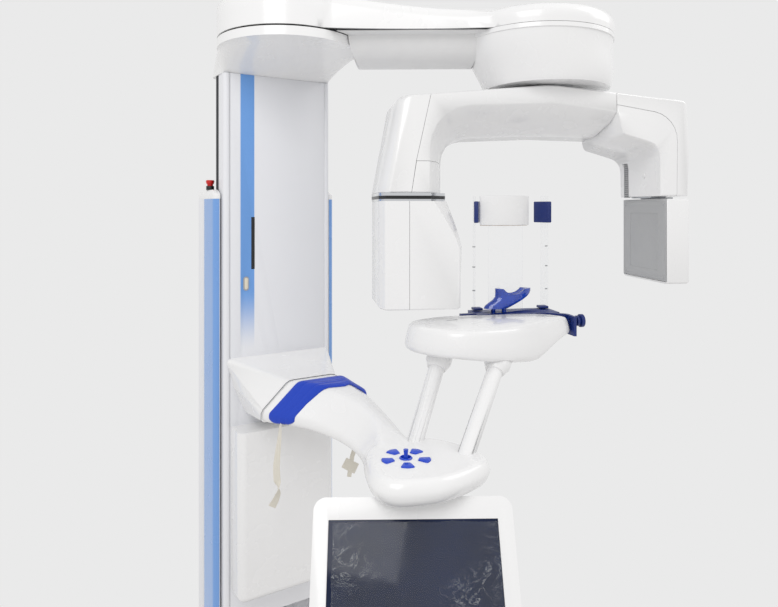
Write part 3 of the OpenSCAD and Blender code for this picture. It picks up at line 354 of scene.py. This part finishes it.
# Pale floor; rays from the camera, reflections and clear pieces see one even tone
def floor_paint():
    material = finish("floor_pale", "#E4E2E0", 0.7)
    grain(material, 0.01, 0.05, 0.0003)
    return material


def world():
    sky = bpy.data.worlds.new("studio")
    bpy.context.scene.world = sky
    sky.use_nodes = True
    nodes, links = sky.node_tree.nodes, sky.node_tree.links
    path = nodes.new("ShaderNodeLightPath")
    seen = [path.outputs[key] for key in ("Is Camera Ray", "Is Glossy Ray", "Is Transmission Ray")]
    total = seen[0]
    for other in seen[1:]:
        larger = nodes.new("ShaderNodeMath")
        larger.operation = "MAXIMUM"
        links.new(total, larger.inputs[0])
        links.new(other, larger.inputs[1])
        total = larger.outputs[0]
    lit, shown, mix = (nodes.new("ShaderNode" + kind) for kind in ("Background", "Background", "MixShader"))
    lit.inputs["Color"].default_value = linear("#FFFEFD")
    lit.inputs["Strength"].default_value = 0.76
    shown.inputs["Color"].default_value = linear("#EAEAEA")
    shown.inputs["Strength"].default_value = 1.0
    links.new(total, mix.inputs[0])
    links.new(lit.outputs[0], mix.inputs[1])
    links.new(shown.outputs[0], mix.inputs[2])
    links.new(mix.outputs[0], nodes["World Output"].inputs["Surface"])


camera()
world()
bpy.context.scene.view_settings.view_transform = "Standard"
lamp("ceiling_left", (-1.6, -1.9, 3.2), (0.2, -0.3, 1.4), (1.6, 1.6), 26)
lamp("ceiling_right", (1.9, -1.2, 3.0), (0.3, -0.3, 1.4), (1.4, 1.4), 12)

WHITE = lacquered_abs()
COAT = powder_coat()
FINISHES = {
    "white_plastic": WHITE,
    "white_paint": COAT,
    "blue_strip": blue_extrusion(),
    "navy_plastic": moulded("abs_navy", "#071F60", "#0A2A78", 0.3, 0.45),
    "blue_plastic": moulded("abs_bright_blue", "#0C3FBE", "#1148D2", 0.25, 0.4),
    "clear_blue": tinted_clear(),
    "black_plastic": moulded("abs_black", "#0D0E10", "#17181B", 0.35, 0.5),
    "dark_steel": moulded("enamelled_steel_grey", "#4A4C50", "#54565A", 0.4, 0.55),
    "bright_steel": brushed("steel_ground", "#B9BCC0", 0.3, 0.1),
    "aluminium": brushed("aluminium_cast", "#C4C7CB", 0.42, 0.1),
    "grey_plastic": moulded("abs_grey", "#A9AAAC", "#B3B4B5", 0.4, 0.55),
    "chrome_band": banded_chrome(),
    "ivory_plastic": moulded("abs_ivory", "#DED6C4", "#E6DECC", 0.3, 0.45),
    "red_plastic": moulded("abs_red", "#C2120F", "#D41A14", 0.25, 0.4),
    "strap_fabric": woven("polyester_webbing_blue", "#0A38B4", "#1450D8", 0.002, 0.75),
    "screen_glass": display_glass(),
}
FINISH_OF = {"front_panel": striped_coat(), "moving_column": coat_with_dark_band()}
ELASTIC = woven("elastic_webbing_ivory", "#DAD5C8", "#EFEBE0", 0.002, 0.8)
ACRYLIC = clear_acrylic()
FILM = film()
TAN = moulded("foam_tan", "#B9A183", "#C8B293", 0.6, 0.75)
# Pale grey for the arm's underside: the white covers' tone darkened as painted shade
SHADED_BELLY = moulded("abs_pale_grey_painted_shade", "#E4E4E5", "#EBEBEB", 0.35, 0.5)


# Making pieces
def only(piece):
    bpy.ops.object.select_all(action="DESELECT")
    piece.select_set(True)
    bpy.context.view_layer.objects.active = piece


def modifier(piece, kind, **settings):
    """Adds a modifier and applies it"""
    only(piece)
    step = piece.modifiers.new(kind.lower(), kind)
    for key, value in settings.items():
        setattr(step, key, value)
    bpy.ops.object.modifier_apply(modifier=step.name)


def rounded_edges(piece, width, segments=2):
    """Bevels the edges that turn by more than 38 degrees"""
    sharp = math.radians(38)
    modifier(
        piece, "BEVEL", width=width * MM, segments=segments, limit_method="ANGLE", angle_limit=sharp
    )


def smooth(piece, angle=40):
    only(piece)
    bpy.ops.object.shade_smooth_by_angle(angle=math.radians(angle))


def coat(piece, material):
    piece.data.materials.clear()
    piece.data.materials.append(material)


def merged(piece):
    """Joins loose triangles and dissolves the edges inside flat faces"""
    only(piece)
    bpy.ops.object.mode_set(mode="EDIT")
    bpy.ops.mesh.select_all(action="SELECT")
    bpy.ops.mesh.remove_doubles(threshold=0.02 * MM)
    bpy.ops.mesh.dissolve_limited(angle_limit=math.radians(0.3))
    bpy.ops.object.mode_set(mode="OBJECT")


def copy_of(node, name):
    piece = bpy.data.objects.new(name, frame["nodes"][node].data.copy())
    bpy.context.scene.collection.objects.link(piece)
    return piece


def skin(node, edge, segments=2):
    """Smooth copy of a CAD node with rounded edges, shown in its place"""
    piece = copy_of(node, "skin_" + node)
    merged(piece)
    if edge:
        rounded_edges(piece, edge, segments)
    smooth(piece)
    coat(piece, FINISH_OF.get(node) or FINISHES[SLOT_OF[node]])
    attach(piece, BODY_OF[node])
    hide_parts(node)


def settle(piece, name, material, body, slot, space=None):
    """Puts a new piece where its frame says, with its place in its mesh, and lets it ride"""
    if space is not None:
        piece.matrix_world = space @ piece.matrix_basis
    only(piece)
    bpy.ops.object.transform_apply(location=True, rotation=True, scale=True)
    piece.name = name
    piece.data.name = name
    coat(piece, material)
    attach(piece, body)
    return piece


def block(low, high, edge, segments=3):
    """Block between two corners with rounded edges"""
    bpy.ops.object.select_all(action="DESELECT")
    middle = [(a + b) / 2 * MM for a, b in zip(low, high)]
    bpy.ops.mesh.primitive_cube_add(size=1, location=middle)
    piece = bpy.context.object
    piece.scale = [(b - a) * MM for a, b in zip(low, high)]
    bpy.ops.object.transform_apply(location=False, rotation=False, scale=True)
    rounded_edges(piece, edge, segments)
    smooth(piece)
    return piece


def pin_shape(radius, length, place, edge):
    """Short pin along X with rounded rims"""
    bpy.ops.object.select_all(action="DESELECT")
    bpy.ops.mesh.primitive_cylinder_add(
        vertices=16, radius=radius * MM, depth=length * MM, location=[v * MM for v in place],
        rotation=(0, math.pi / 2, 0),
    )
    piece = bpy.context.object
    rounded_edges(piece, edge)
    smooth(piece)
    return piece


def mix_of(a, b, share):
    return a + (b - a) * share


def ease_of(share):
    """Share from 0 to 1 that starts and ends softly"""
    return (1 - math.cos(math.pi * max(0, min(1, share)))) / 2


def between(v, table):
    """Value at v in a table of rising pairs"""
    for (a, low), (b, high) in zip(table, table[1:]):
        if v <= b:
            return low + (high - low) * max(0, (v - a) / (b - a))
    return table[-1][1]


def along(path, share):
    """Point of a path at a share of its length"""
    lengths = [(b - a).length for a, b in zip(path, path[1:])]
    left = share * sum(lengths)
    for (a, b), length in zip(zip(path, path[1:]), lengths):
        if left <= length:
            return a.lerp(b, left / length)
        left -= length
    return path[-1]


def corner(a, p, b, radius, n):
    """Arc in n steps that rounds the corner at p between a and b"""
    pa, pb = (Vector(a) - Vector(p)).normalized(), (Vector(b) - Vector(p)).normalized()
    half = pa.angle(pb) / 2
    centre = Vector(p) + (pa + pb).normalized() * radius / math.sin(half)
    first = Vector(p) + pa * radius / math.tan(half) - centre
    last = Vector(p) + pb * radius / math.tan(half) - centre
    turn = first.angle_signed(last)
    return [centre + Matrix.Rotation(-turn * i / n, 2) @ first for i in range(n + 1)]


def rounded(corners, n=5):
    """Outline through corners given as x, y and radius"""
    outline = []
    for k, (x, y, radius) in enumerate(corners):
        outline += corner(corners[k - 1][:2], (x, y), corners[(k + 1) % len(corners)][:2], radius, n)
    return outline


def curved(spots, n=5):
    """Smooth closed outline through spots"""
    outline = []
    for k in range(len(spots)):
        a, b, c, d = (Vector(spots[(k + i) % len(spots)]) for i in (-1, 0, 1, 2))
        for t in (j / n for j in range(n)):
            cubic = (3 * b - a - 3 * c + d) * t**3
            outline.append((2 * b + (c - a) * t + (2 * a - 5 * b + 4 * c - d) * t * t + cubic) / 2)
    return outline


def spaced(outline, count):
    """As many evenly spaced points round a closed outline"""
    ring = list(outline) + [outline[0]]
    return [along(ring, k / count) for k in range(count)]


def drawn_in(outline, centre, inset):
    """Outline moved towards its centre"""
    return [p + (Vector(centre) - p).normalized() * inset for p in outline]


def grid(name, across, down, place):
    """Grid whose corners follow place(u, v)"""
    bpy.ops.object.select_all(action="DESELECT")
    bpy.ops.mesh.primitive_grid_add(x_subdivisions=across, y_subdivisions=down, size=1)
    piece = bpy.context.object
    piece.name = name
    for corner_point in piece.data.vertices:
        corner_point.co = place(corner_point.co.x + 0.5, corner_point.co.y + 0.5)
    return piece


def lofted(name, sections):
    """Closed form through sections with as many points each"""
    rows, count = len(sections) - 1, len(sections[0])

    def place(u, v):
        return Vector(sections[round(u * rows)][round(v * count) % count]) * MM

    piece = grid(name, rows, count, place)
    only(piece)
    bpy.ops.object.mode_set(mode="EDIT")
    bpy.ops.mesh.select_all(action="SELECT")
    bpy.ops.mesh.remove_doubles(threshold=1e-6)
    bpy.ops.mesh.fill_holes(sides=0)
    bpy.ops.mesh.select_all(action="SELECT")
    bpy.ops.mesh.normals_make_consistent(inside=False)
    bpy.ops.object.mode_set(mode="OBJECT")
    return piece


def turned(name, profile, centre=(0, 0), count=96):
    """Round form through radius and height pairs"""
    turns = [(math.cos(a), math.sin(a)) for a in (2 * math.pi * k / count for k in range(count))]
    return lofted(name, [[(centre[0] + r * c, centre[1] + r * s, z) for c, s in turns] for r, z in profile])


def melted(parts, voxel, rounds):
    """Joins forms into one and eases all edges, as a mould maker's radii do"""
    only(parts[0])
    for part in parts[1:]:
        part.select_set(True)
    if len(parts) > 1:
        bpy.ops.object.join()
    piece = parts[0]
    modifier(piece, "REMESH", mode="VOXEL", voxel_size=voxel * MM)
    modifier(piece, "SMOOTH", factor=0.5, iterations=rounds)
    return piece


def sliced(piece, place, normal):
    """Cuts off what lies beyond a plane and closes the cut"""
    only(piece)
    bpy.ops.object.mode_set(mode="EDIT")
    bpy.ops.mesh.select_all(action="SELECT")
    bpy.ops.mesh.bisect(
        plane_co=[v * MM for v in place], plane_no=normal, use_fill=True, clear_outer=True
    )
    bpy.ops.object.mode_set(mode="OBJECT")


def cut(piece, cutter):
    """Takes the cutter's form out of a piece"""
    modifier(piece, "BOOLEAN", object=cutter, operation="DIFFERENCE", solver="EXACT")
    bpy.data.objects.remove(cutter)


def stands_for(piece, node, material=None, space=None, angle=40):
    """Finishes a new form and shows it in place of the node's solid"""
    smooth(piece, angle)
    slot = SLOT_OF[node]
    settle(piece, "form_" + node, material or FINISHES[slot], BODY_OF[node], slot, space)
    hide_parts(node)


# Inner pieces keep their solids and get their finish
for node_name, solid in frame["nodes"].items():
    coat(solid, FINISH_OF.get(node_name) or FINISHES[SLOT_OF[node_name]])

# Covers and frames that show, with the width of their rounded edges in millimetres
SKINS = {
    "base_plate": 1.0, "base_skirt": 1.5, "fixed_column": 0, "side_strips": 0, "column_cap": 1.2,
    "wall_bracket": 0.8, "stop_collar": 0.6, "stop_button": 0.8, "moving_column": 0, "front_panel": 0.6,
    "start_ring": 0.5, "start_button": 0.8, "lower_cover": 0, "shoulder_housing": 0, "arm_cover": 0,
    "beam_cover": 0, "tube_arm_outer": 0, "tube_arm_inner": 0, "tube_band": 0, "tube_head_outer": 0,
    "tube_head_inner": 0, "sensor_arm_outer": 0, "sensor_arm_inner": 0, "vent_grille": 0,
    "release_button": 0.8, "sensor_head": 1.0, "sensor_plate": 0.5, "arm_block": 0,
    "joystick_socket": 0.3, "joystick": 0, "posts": 0, "table_body": 0, "width_knob": 0.6,
    "chin_rest": 0, "screen_yoke": 1.0, "screen_glass": 0.5,
}
for node_name, edge_width in SKINS.items():
    skin(node_name, edge_width)
skin("screen_housing", 4.0, segments=4)
for number in range(1, 6):
    skin(f"pad_button_{number}", 0.9)


# Black window in the slot of the front panel
def slot_window():
    window = block((-71.2, -78.6, 1401.8), (-61.8, -76.5, 1528.2), 0.4)
    settle(window, "slot_window", FINISHES["black_plastic"], "mover", "black_plastic")


def on_table(lat, dep, turn):
    """Frame on the table: across it, into it and turned by degrees"""
    place = Matrix.Translation((lat * MM, dep * MM, 0))
    return TABLE @ place @ Matrix.Rotation(math.radians(turn), 4, "Z")


# Pads of the temple rests, their clear uprights, feet and pins
def temple(side, body, node):
    lat, dep, foot_low = 95 + side * 85, 135, 1302.4
    space = on_table(lat, dep, 25 * side)
    navy, grey = FINISHES["navy_plastic"], FINISHES["grey_plastic"]
    pad = block((-5, -25, 1514), (5, 25, 1566), 2.6, 4)
    settle(pad, f"{body}_pad", navy, body, "navy_plastic", space)
    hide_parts(node)
    plate = block((side * 7 - 2, -11, foot_low), (side * 7 + 2, 11, 1580), 0.5, 2)
    settle(plate, f"{body}_upright", ACRYLIC, body, "navy_plastic", space)
    foot = block((lat - 11, dep - 12, foot_low), (lat + 11, dep + 12, 1308.3), 1.5)
    settle(foot, f"{body}_foot", navy, body, "navy_plastic", TABLE)
    for number, height in enumerate((1456, 1407, 1350), 1):
        pin = pin_shape(1.6, 7, (side * 7, -6, height), 0.5)
        settle(pin, f"{body}_pin_{number}", grey, body, "grey_plastic", space)


# Curved band for the forehead on its clear plate, with a tan lining inside
def forehead():
    radius, half_angle, middle, front, mid_z = 150, 25, 77, 112, 1544
    centre = (middle * MM, (front + radius) * MM, mid_z * MM)

    def arc(inner, low, high, thick):
        bpy.ops.object.select_all(action="DESELECT")
        bpy.ops.mesh.primitive_cylinder_add(
            vertices=144, radius=inner * MM, depth=(high - low) * MM, end_fill_type="NOTHING",
            location=(centre[0], centre[1], (low + high) / 2 * MM),
        )
        piece = bpy.context.object
        bpy.ops.object.transform_apply(location=True, rotation=True, scale=True)
        bpy.ops.object.mode_set(mode="EDIT")
        for sign in (-1, 1):
            bpy.ops.mesh.select_all(action="SELECT")
            turn = math.radians(-90 + sign * half_angle)
            normal = (-sign * math.sin(turn), sign * math.cos(turn), 0)
            bpy.ops.mesh.bisect(plane_co=centre, plane_no=normal, clear_outer=True)
        bpy.ops.mesh.select_all(action="SELECT")
        bpy.ops.mesh.bisect(plane_co=centre, plane_no=(0, 1, 0), clear_outer=True)
        bpy.ops.object.mode_set(mode="OBJECT")
        modifier(piece, "SOLIDIFY", thickness=thick * MM, offset=-1)
        rounded_edges(piece, thick * 0.4, 3)
        smooth(piece)
        return piece

    shell = arc(radius, 1508, 1580, 4.4)
    settle(shell, "forehead_band", WHITE, "mover", "white_plastic", TABLE)
    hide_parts("forehead_rest")
    lining = arc(radius - 4.5, 1507, 1576, 2.4)
    settle(lining, "forehead_lining", TAN, "mover", "white_plastic", TABLE)
    plate = block((33, 117.5, 1302), (121, 121.5, 1512), 0.5, 2)
    settle(plate, "forehead_plate", ACRYLIC, "mover", "white_plastic", TABLE)


# Two narrow slots in the table top
def table_slots():
    grey = FINISHES["grey_plastic"]
    for number, place in enumerate(((-86, 25, 12), (157, 28, 4)), 1):
        slot = block((-13, -2.2, 1299.4), (13, 2.2, 1300.3), 0.3, 2)
        settle(slot, f"table_slot_{number}", grey, "mover", "grey_plastic", on_table(*place))


# Support arm: where it starts, how far it runs, its top's height and its right side by Y
ARM_START, ARM_RUN = -237.5, 262.5
ARM_TOP = [
    (-545, 1091), (-530, 1092), (-500, 1098), (-470, 1110), (-438, 1122), (-376, 1140), (-320, 1153),
    (-280, 1160), (-237, 1165),
]
ARM_RIGHT = [
    (-545, 120), (-520, 120), (-480, 116), (-438, 118), (-376, 124), (-320, 130), (-237, 134),
]
# Height at which the strap's edges end on the arm's sides
STRAP_LOW = 1083


def arm_spots(y, lift=0):
    """Corners of the support arm's section, x and z, moved out by lift"""
    q = min(1, (ARM_START - y) / ARM_RUN)
    left = -103 + 127 * math.sin(math.radians(120 * q)) - lift
    right, top = between(y, ARM_RIGHT) + lift, between(y, ARM_TOP) + lift
    low = 1080 - 38 * ease_of(q) - lift
    return [
        (left, low), (left, low + 26 - 8 * q), (left + 64 - 30 * q, top), (right - 62 + 36 * q, top),
        (right, top - 42 + 26 * q), (right - 8, low),
    ]


def over_arm(y, lift):
    """Path over the support arm from its lower left edge to its lower right one, x and z"""
    spots = arm_spots(y, lift)
    left, low = spots[0]
    path = [Vector((left, STRAP_LOW))]
    for k, radius in ((1, 12), (2, 22), (3, 22), (4, 22)):
        path += corner(spots[k - 1], spots[k], spots[k + 1], radius, 6)
    share = (STRAP_LOW - low) / (spots[4][1] - low)
    return path + [Vector(spots[5]).lerp(Vector(spots[4]), share)]


# Control pad seen from above, and the stick in its middle
PAD_OUTLINE = [
    (-10, -530), (-30, -570), (-44, -612), (-45, -645), (-28, -670), (5, -688), (50, -702), (95, -700),
    (140, -690), (172, -676), (190, -650), (192, -615), (183, -572), (165, -532), (140, -505),
    (108, -490), (60, -484), (20, -494),
]
# How far the pad's outline draws in at each height
PAD_INSET = [(1042, 30), (1043, 20), (1048, 12), (1056, 5), (1070, 0), (1080, 3), (1088, 8), (1092, 15)]
PAD_MIDDLE = (75, -595)
PAD_TOP = 1092
JOYSTICK = (46, -589)
POCKET = [(-9.4, -6.4, 2), (10.4, -13.4, 3), (14.4, 0, 14), (10.4, 13.4, 3), (-9.4, 6.4, 2)]


def level(outline, z):
    return [(p.x, p.y, z) for p in outline]


# Support arm and the pad at its end, moulded in one with pockets for buttons and stick
def support_form():
    steps, radii = 30, (12, 12, 22, 22, 22, 14)
    sections = []
    for k in range(steps + 1):
        y = mix_of(-232, -545, k / steps)
        spots = arm_spots(min(y, ARM_START))
        ring = rounded([(*spot, radius) for spot, radius in zip(spots, radii)], 6)
        sections.append([(p.x, y, p.y) for p in spaced(ring, 90)])
    arm = lofted("arm", sections)
    outline = spaced(curved(PAD_OUTLINE), 120)
    pad = lofted("pad", [level(drawn_in(outline, PAD_MIDDLE, inset), z) for z, inset in PAD_INSET])
    form = melted([arm, pad], 3.5, 10)
    sliced(form, (0, -238, 0), (0, 1, 0))
    shape, ring_radius = rounded(POCKET, 4), 33
    for k in range(5):
        turn = math.radians(26 + 72 * k)
        place = Vector(JOYSTICK) + Vector((ring_radius * math.cos(turn), ring_radius * math.sin(turn)))
        ring = [place + Matrix.Rotation(turn, 2) @ p for p in shape]
        cut(form, lofted("pocket", [level(ring, z) for z in (PAD_TOP - 12, PAD_TOP + 12)]))
    cut(form, turned("socket", [(12.3, PAD_TOP - 24), (12.3, PAD_TOP + 12)], JOYSTICK))
    stands_for(form, "support_arm", angle=50)


# Upper arm: from shoulder to elbow, and the height of the cover's lower edge
ARM_REACH = 611.7
SEAM_Z = 1944


# Underside of the upper arm: a narrow belly and a plate, both cut round the two housings; their pale grey
# is painted shade
def belly_form():
    node, half, depth, first, last = "arm_belly", 80, 62, 60, ARM_REACH - 60
    arc = [math.radians(4 * k) for k in range(46)]
    shape = [(half * math.cos(a), SEAM_Z - depth * math.sin(a)) for a in arc]
    belly = lofted("belly", [[(s, y, z) for y, z in shape] for s in (first, last)])
    plate = block((first, -112, SEAM_Z - 3), (last, 112, SEAM_Z - 0.4), 0.8, 2)
    for piece in (belly, plate):
        for s, radius in ((0, 169), (ARM_REACH, 177)):
            cut(piece, turned("end", [(radius, SEAM_Z - 100), (radius, SEAM_Z + 20)], (s, 0), 144))
    stands_for(belly, node, SHADED_BELLY, UPPER_ARM, 50)
    settle(plate, "arm_underplate", SHADED_BELLY, BODY_OF[node], SLOT_OF[node], UPPER_ARM)


# Elbow housing: a rim over a taper that bulges a little and draws towards the rotation axis
def elbow_form():
    low, rim, top, rim_radius, steps, count = 1827, 1933, 1943, 174, 24, 120
    axis, middle = Vector((517.47, -469.24)), Vector((498.15, -459.14))
    rows = []
    for share in (k / steps for k in range(steps + 1)):
        rows.append((mix_of(low, rim, share), mix_of(145, 171.5, share**0.75), ease_of(share)))
    rows += [(rim + 0.4, rim_radius, 1), (top, rim_radius, 1)]
    angles = [2 * math.pi * k / count for k in range(count)]
    turns = [Vector((math.cos(a), math.sin(a))) for a in angles]
    sections = [[(*(axis.lerp(middle, share) + t * r), z) for t in turns] for z, r, share in rows]
    stands_for(lofted("elbow", sections), "rotation_housing", angle=35)


# Rear band of the table: flush with its top, its left end stops behind the first post
def rear_band():
    form = copy_of("table_rear", "band")
    merged(form)
    sliced(form, (0, 0, 1300.6), (0, 0, 1))
    end = TABLE @ Vector((-0.045, 0, 0))
    sliced(form, [v / MM for v in end], TABLE.to_3x3() @ Vector((-1, 0, 0)))
    stands_for(form, "table_rear")


# Y of the strap's back and front edges by X, its middle, and the rows of its grid
BACK_EDGE = [(-110, -248), (-60, -252), (0, -256), (60, -257), (140, -262)]
FRONT_EDGE = [(-110, -290), (-40, -296), (0, -306), (50, -312), (100, -296), (140, -285)]
STRAP_MIDDLE = -275
STRAP_STEPS = (150, 26)
CREASE_ROWS = (0.3, 0.62)


def strap_spot(u, v, out):
    """Spot on the padded strap: u along it, v across it, out from its inside to its outside"""
    x = along(over_arm(STRAP_MIDDLE, 3), u).x
    ends = 10 * max(0, 1 - min(u, 1 - u) / 0.035) ** 2
    front, back = between(x, FRONT_EDGE), between(x, BACK_EDGE)
    y = front + ends + (back - front - 2 * ends) * v
    edge = min(v, 1 - v, min(u, 1 - u) * 8)
    crown = 3.6 * min(1, edge / 0.16) ** 0.55
    creases = 0
    for row in CREASE_ROWS:
        creases += math.exp(-(((v - row - 0.03 * math.sin(9 * u + 7 * row)) / 0.035) ** 2))
    creases *= 0.9 * min(1, edge / 0.1)
    wave = 0.5 * noise.noise(Vector((u * 14, v * 3, 1.7))) * min(1, edge / 0.2)
    lift = 0.5 + out * max(0.7, 1.2 + crown - creases + wave)
    spot = along(over_arm(y, lift), u)
    return Vector((spot.x, y, spot.y)) * MM


def strap_pad():
    """Quilted band: its outside is drawn out of the inside, with creases along it"""
    rows, columns = STRAP_STEPS
    piece = grid("strap_pad", rows, columns, lambda u, v: strap_spot(u, v, 0))
    count = len(piece.data.vertices)
    only(piece)
    bpy.ops.object.mode_set(mode="EDIT")
    bpy.ops.mesh.select_all(action="SELECT")
    bpy.ops.mesh.extrude_region_move()
    bpy.ops.object.mode_set(mode="OBJECT")
    shares = [(i / rows, j / columns) for j in range(columns + 1) for i in range(rows + 1)]
    for k, (u, v) in enumerate(shares):
        inner, outer = piece.data.vertices[k], piece.data.vertices[count + k]
        inner.co, outer.co = strap_spot(u, v, 0), strap_spot(u, v, 1)
    only(piece)
    bpy.ops.object.mode_set(mode="EDIT")
    bpy.ops.mesh.select_all(action="SELECT")
    bpy.ops.mesh.normals_make_consistent(inside=False)
    bpy.ops.object.mode_set(mode="OBJECT")
    smooth(piece, 60)
    settle(piece, "strap_pad", FINISHES["strap_fabric"], "mover", "strap_fabric")
    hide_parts("head_strap")


def ribbon(name, middle, half, width_yaw, roll, thick=1.1, rows=60):
    """Strip of elastic along the points of middle; yaw and roll give how its width lies at a share"""
    path = [Vector(p) for p in middle]

    def place(u, v):
        spot = along(path, u)
        ahead = (along(path, min(1, u + 0.02)) - along(path, max(0, u - 0.02))).normalized()
        yaw = math.radians(between(u, width_yaw))
        side = Vector((math.cos(yaw), math.sin(yaw), 0))
        side = (side - ahead * side.dot(ahead)).normalized()
        side = Matrix.Rotation(math.radians(between(u, roll)), 3, ahead) @ side
        return (spot + side * half * (2 * v - 1)) * MM

    piece = grid(name, rows, 6, place)
    modifier(piece, "SOLIDIFY", thickness=thick * MM, offset=0)
    modifier(piece, "SUBSURF", levels=1, render_levels=1)
    smooth(piece, 60)
    settle(piece, name, ELASTIC, "mover", "ivory_plastic")


def strap_ends():
    """Two elastic ends of the strap, one with a twist, one with a stitched tab"""

    def hanging(start_x, turn, spots):
        """Spots of a path that hangs from the strap, given across the view and up"""
        across = Vector((math.cos(math.radians(turn)), math.sin(math.radians(turn))))
        return [(start_x + x * across.x, -273 + x * across.y, z) for x, z in spots]

    near = [
        (0, 1086), (-1, 1072), (-3, 1050), (-7, 1020), (-10, 990), (-9, 965), (-6, 946), (-7, 930),
        (-13, 916), (-21, 902),
    ]
    far = [(0, 1087), (0, 1060), (-8, 1025), (-20, 995), (-27, 972), (-30, 950), (-34, 925)]
    tab = [(-46, 959), (-33, 952), (-16, 944)]
    ribbon(
        "strap_end_near", hanging(-72, -47, near), 8.5,
        [(0, -100), (0.25, -78), (0.55, -50), (1, -34)], [(0, 0), (0.68, 0), (0.82, 120), (1, 170)],
    )
    ribbon(
        "strap_end_far", hanging(132.5, -31, far), 5.2, [(0, -31), (1, -31)], [(0, 0), (1, 0)]
    )
    ribbon(
        "strap_tab", hanging(132.5, -31, tab), 13, [(0, -120), (1, -120)], [(0, 90), (1, 90)], 2.2, 16
    )


# Protective film left on the screen, creased along its lower and right edges
def screen_film():
    def place(u, v):
        right = max(0, (u - 0.78) / 0.22)
        low = max(0, (0.3 - v) / 0.3)
        x = mix_of(-139, 149, u) + 1.5 * noise.noise(Vector((3.1, v * 7, 0)))
        z = mix_of(-268, -30, v) + 2.0 * noise.noise(Vector((u * 6, 7.7, 0)))
        rise = (right + low) * (0.9 + 0.9 * noise.noise(Vector((u * 13, v * 11, 0.4))))
        rise += 0.25 * noise.noise(Vector((u * 22, v * 17, 2.2)))
        return Vector((x, -60.6 - max(0.1, rise), z)) * MM

    piece = grid("screen_film", 110, 90, place)
    modifier(piece, "SOLIDIFY", thickness=0.15 * MM, offset=0)
    smooth(piece, 80)
    settle(piece, "screen_film", FILM, "screen", "screen_glass", SCREEN)


# Dark strip in the seam between the support arm and its block: painted shade of the gap
def arm_seam_shade():
    line = over_arm(ARM_START, 0.35) + [Vector((118, 1079.6)), Vector((-95, 1079.6))]

    def place(u, v):
        spot = along(line, u)
        return Vector((spot.x, -236.2 - 1.6 * v, spot.y)) * MM

    piece = grid("arm_seam_shade", 60, 2, place)
    modifier(piece, "SOLIDIFY", thickness=0.5 * MM, offset=0)
    # The dark grey enamel finish gives the strip the tone of the shade in the gap
    settle(piece, "arm_seam_shade", FINISHES["dark_steel"], "mover", "dark_steel")


slot_window()
screen_film()
support_form()
belly_form()
elbow_form()
rear_band()
arm_seam_shade()
temple(-1, "left_temple", "temple_left")
temple(1, "right_temple", "temple_right")
forehead()
table_slots()
strap_pad()
strap_ends()

bpy.ops.object.select_all(action="DESELECT")
bpy.ops.mesh.primitive_circle_add(vertices=96, radius=0.95, fill_type="NGON", location=(0.22, -0.28, 0))
ground = bpy.context.object
ground.name = "floor"
coat(ground, floor_paint())
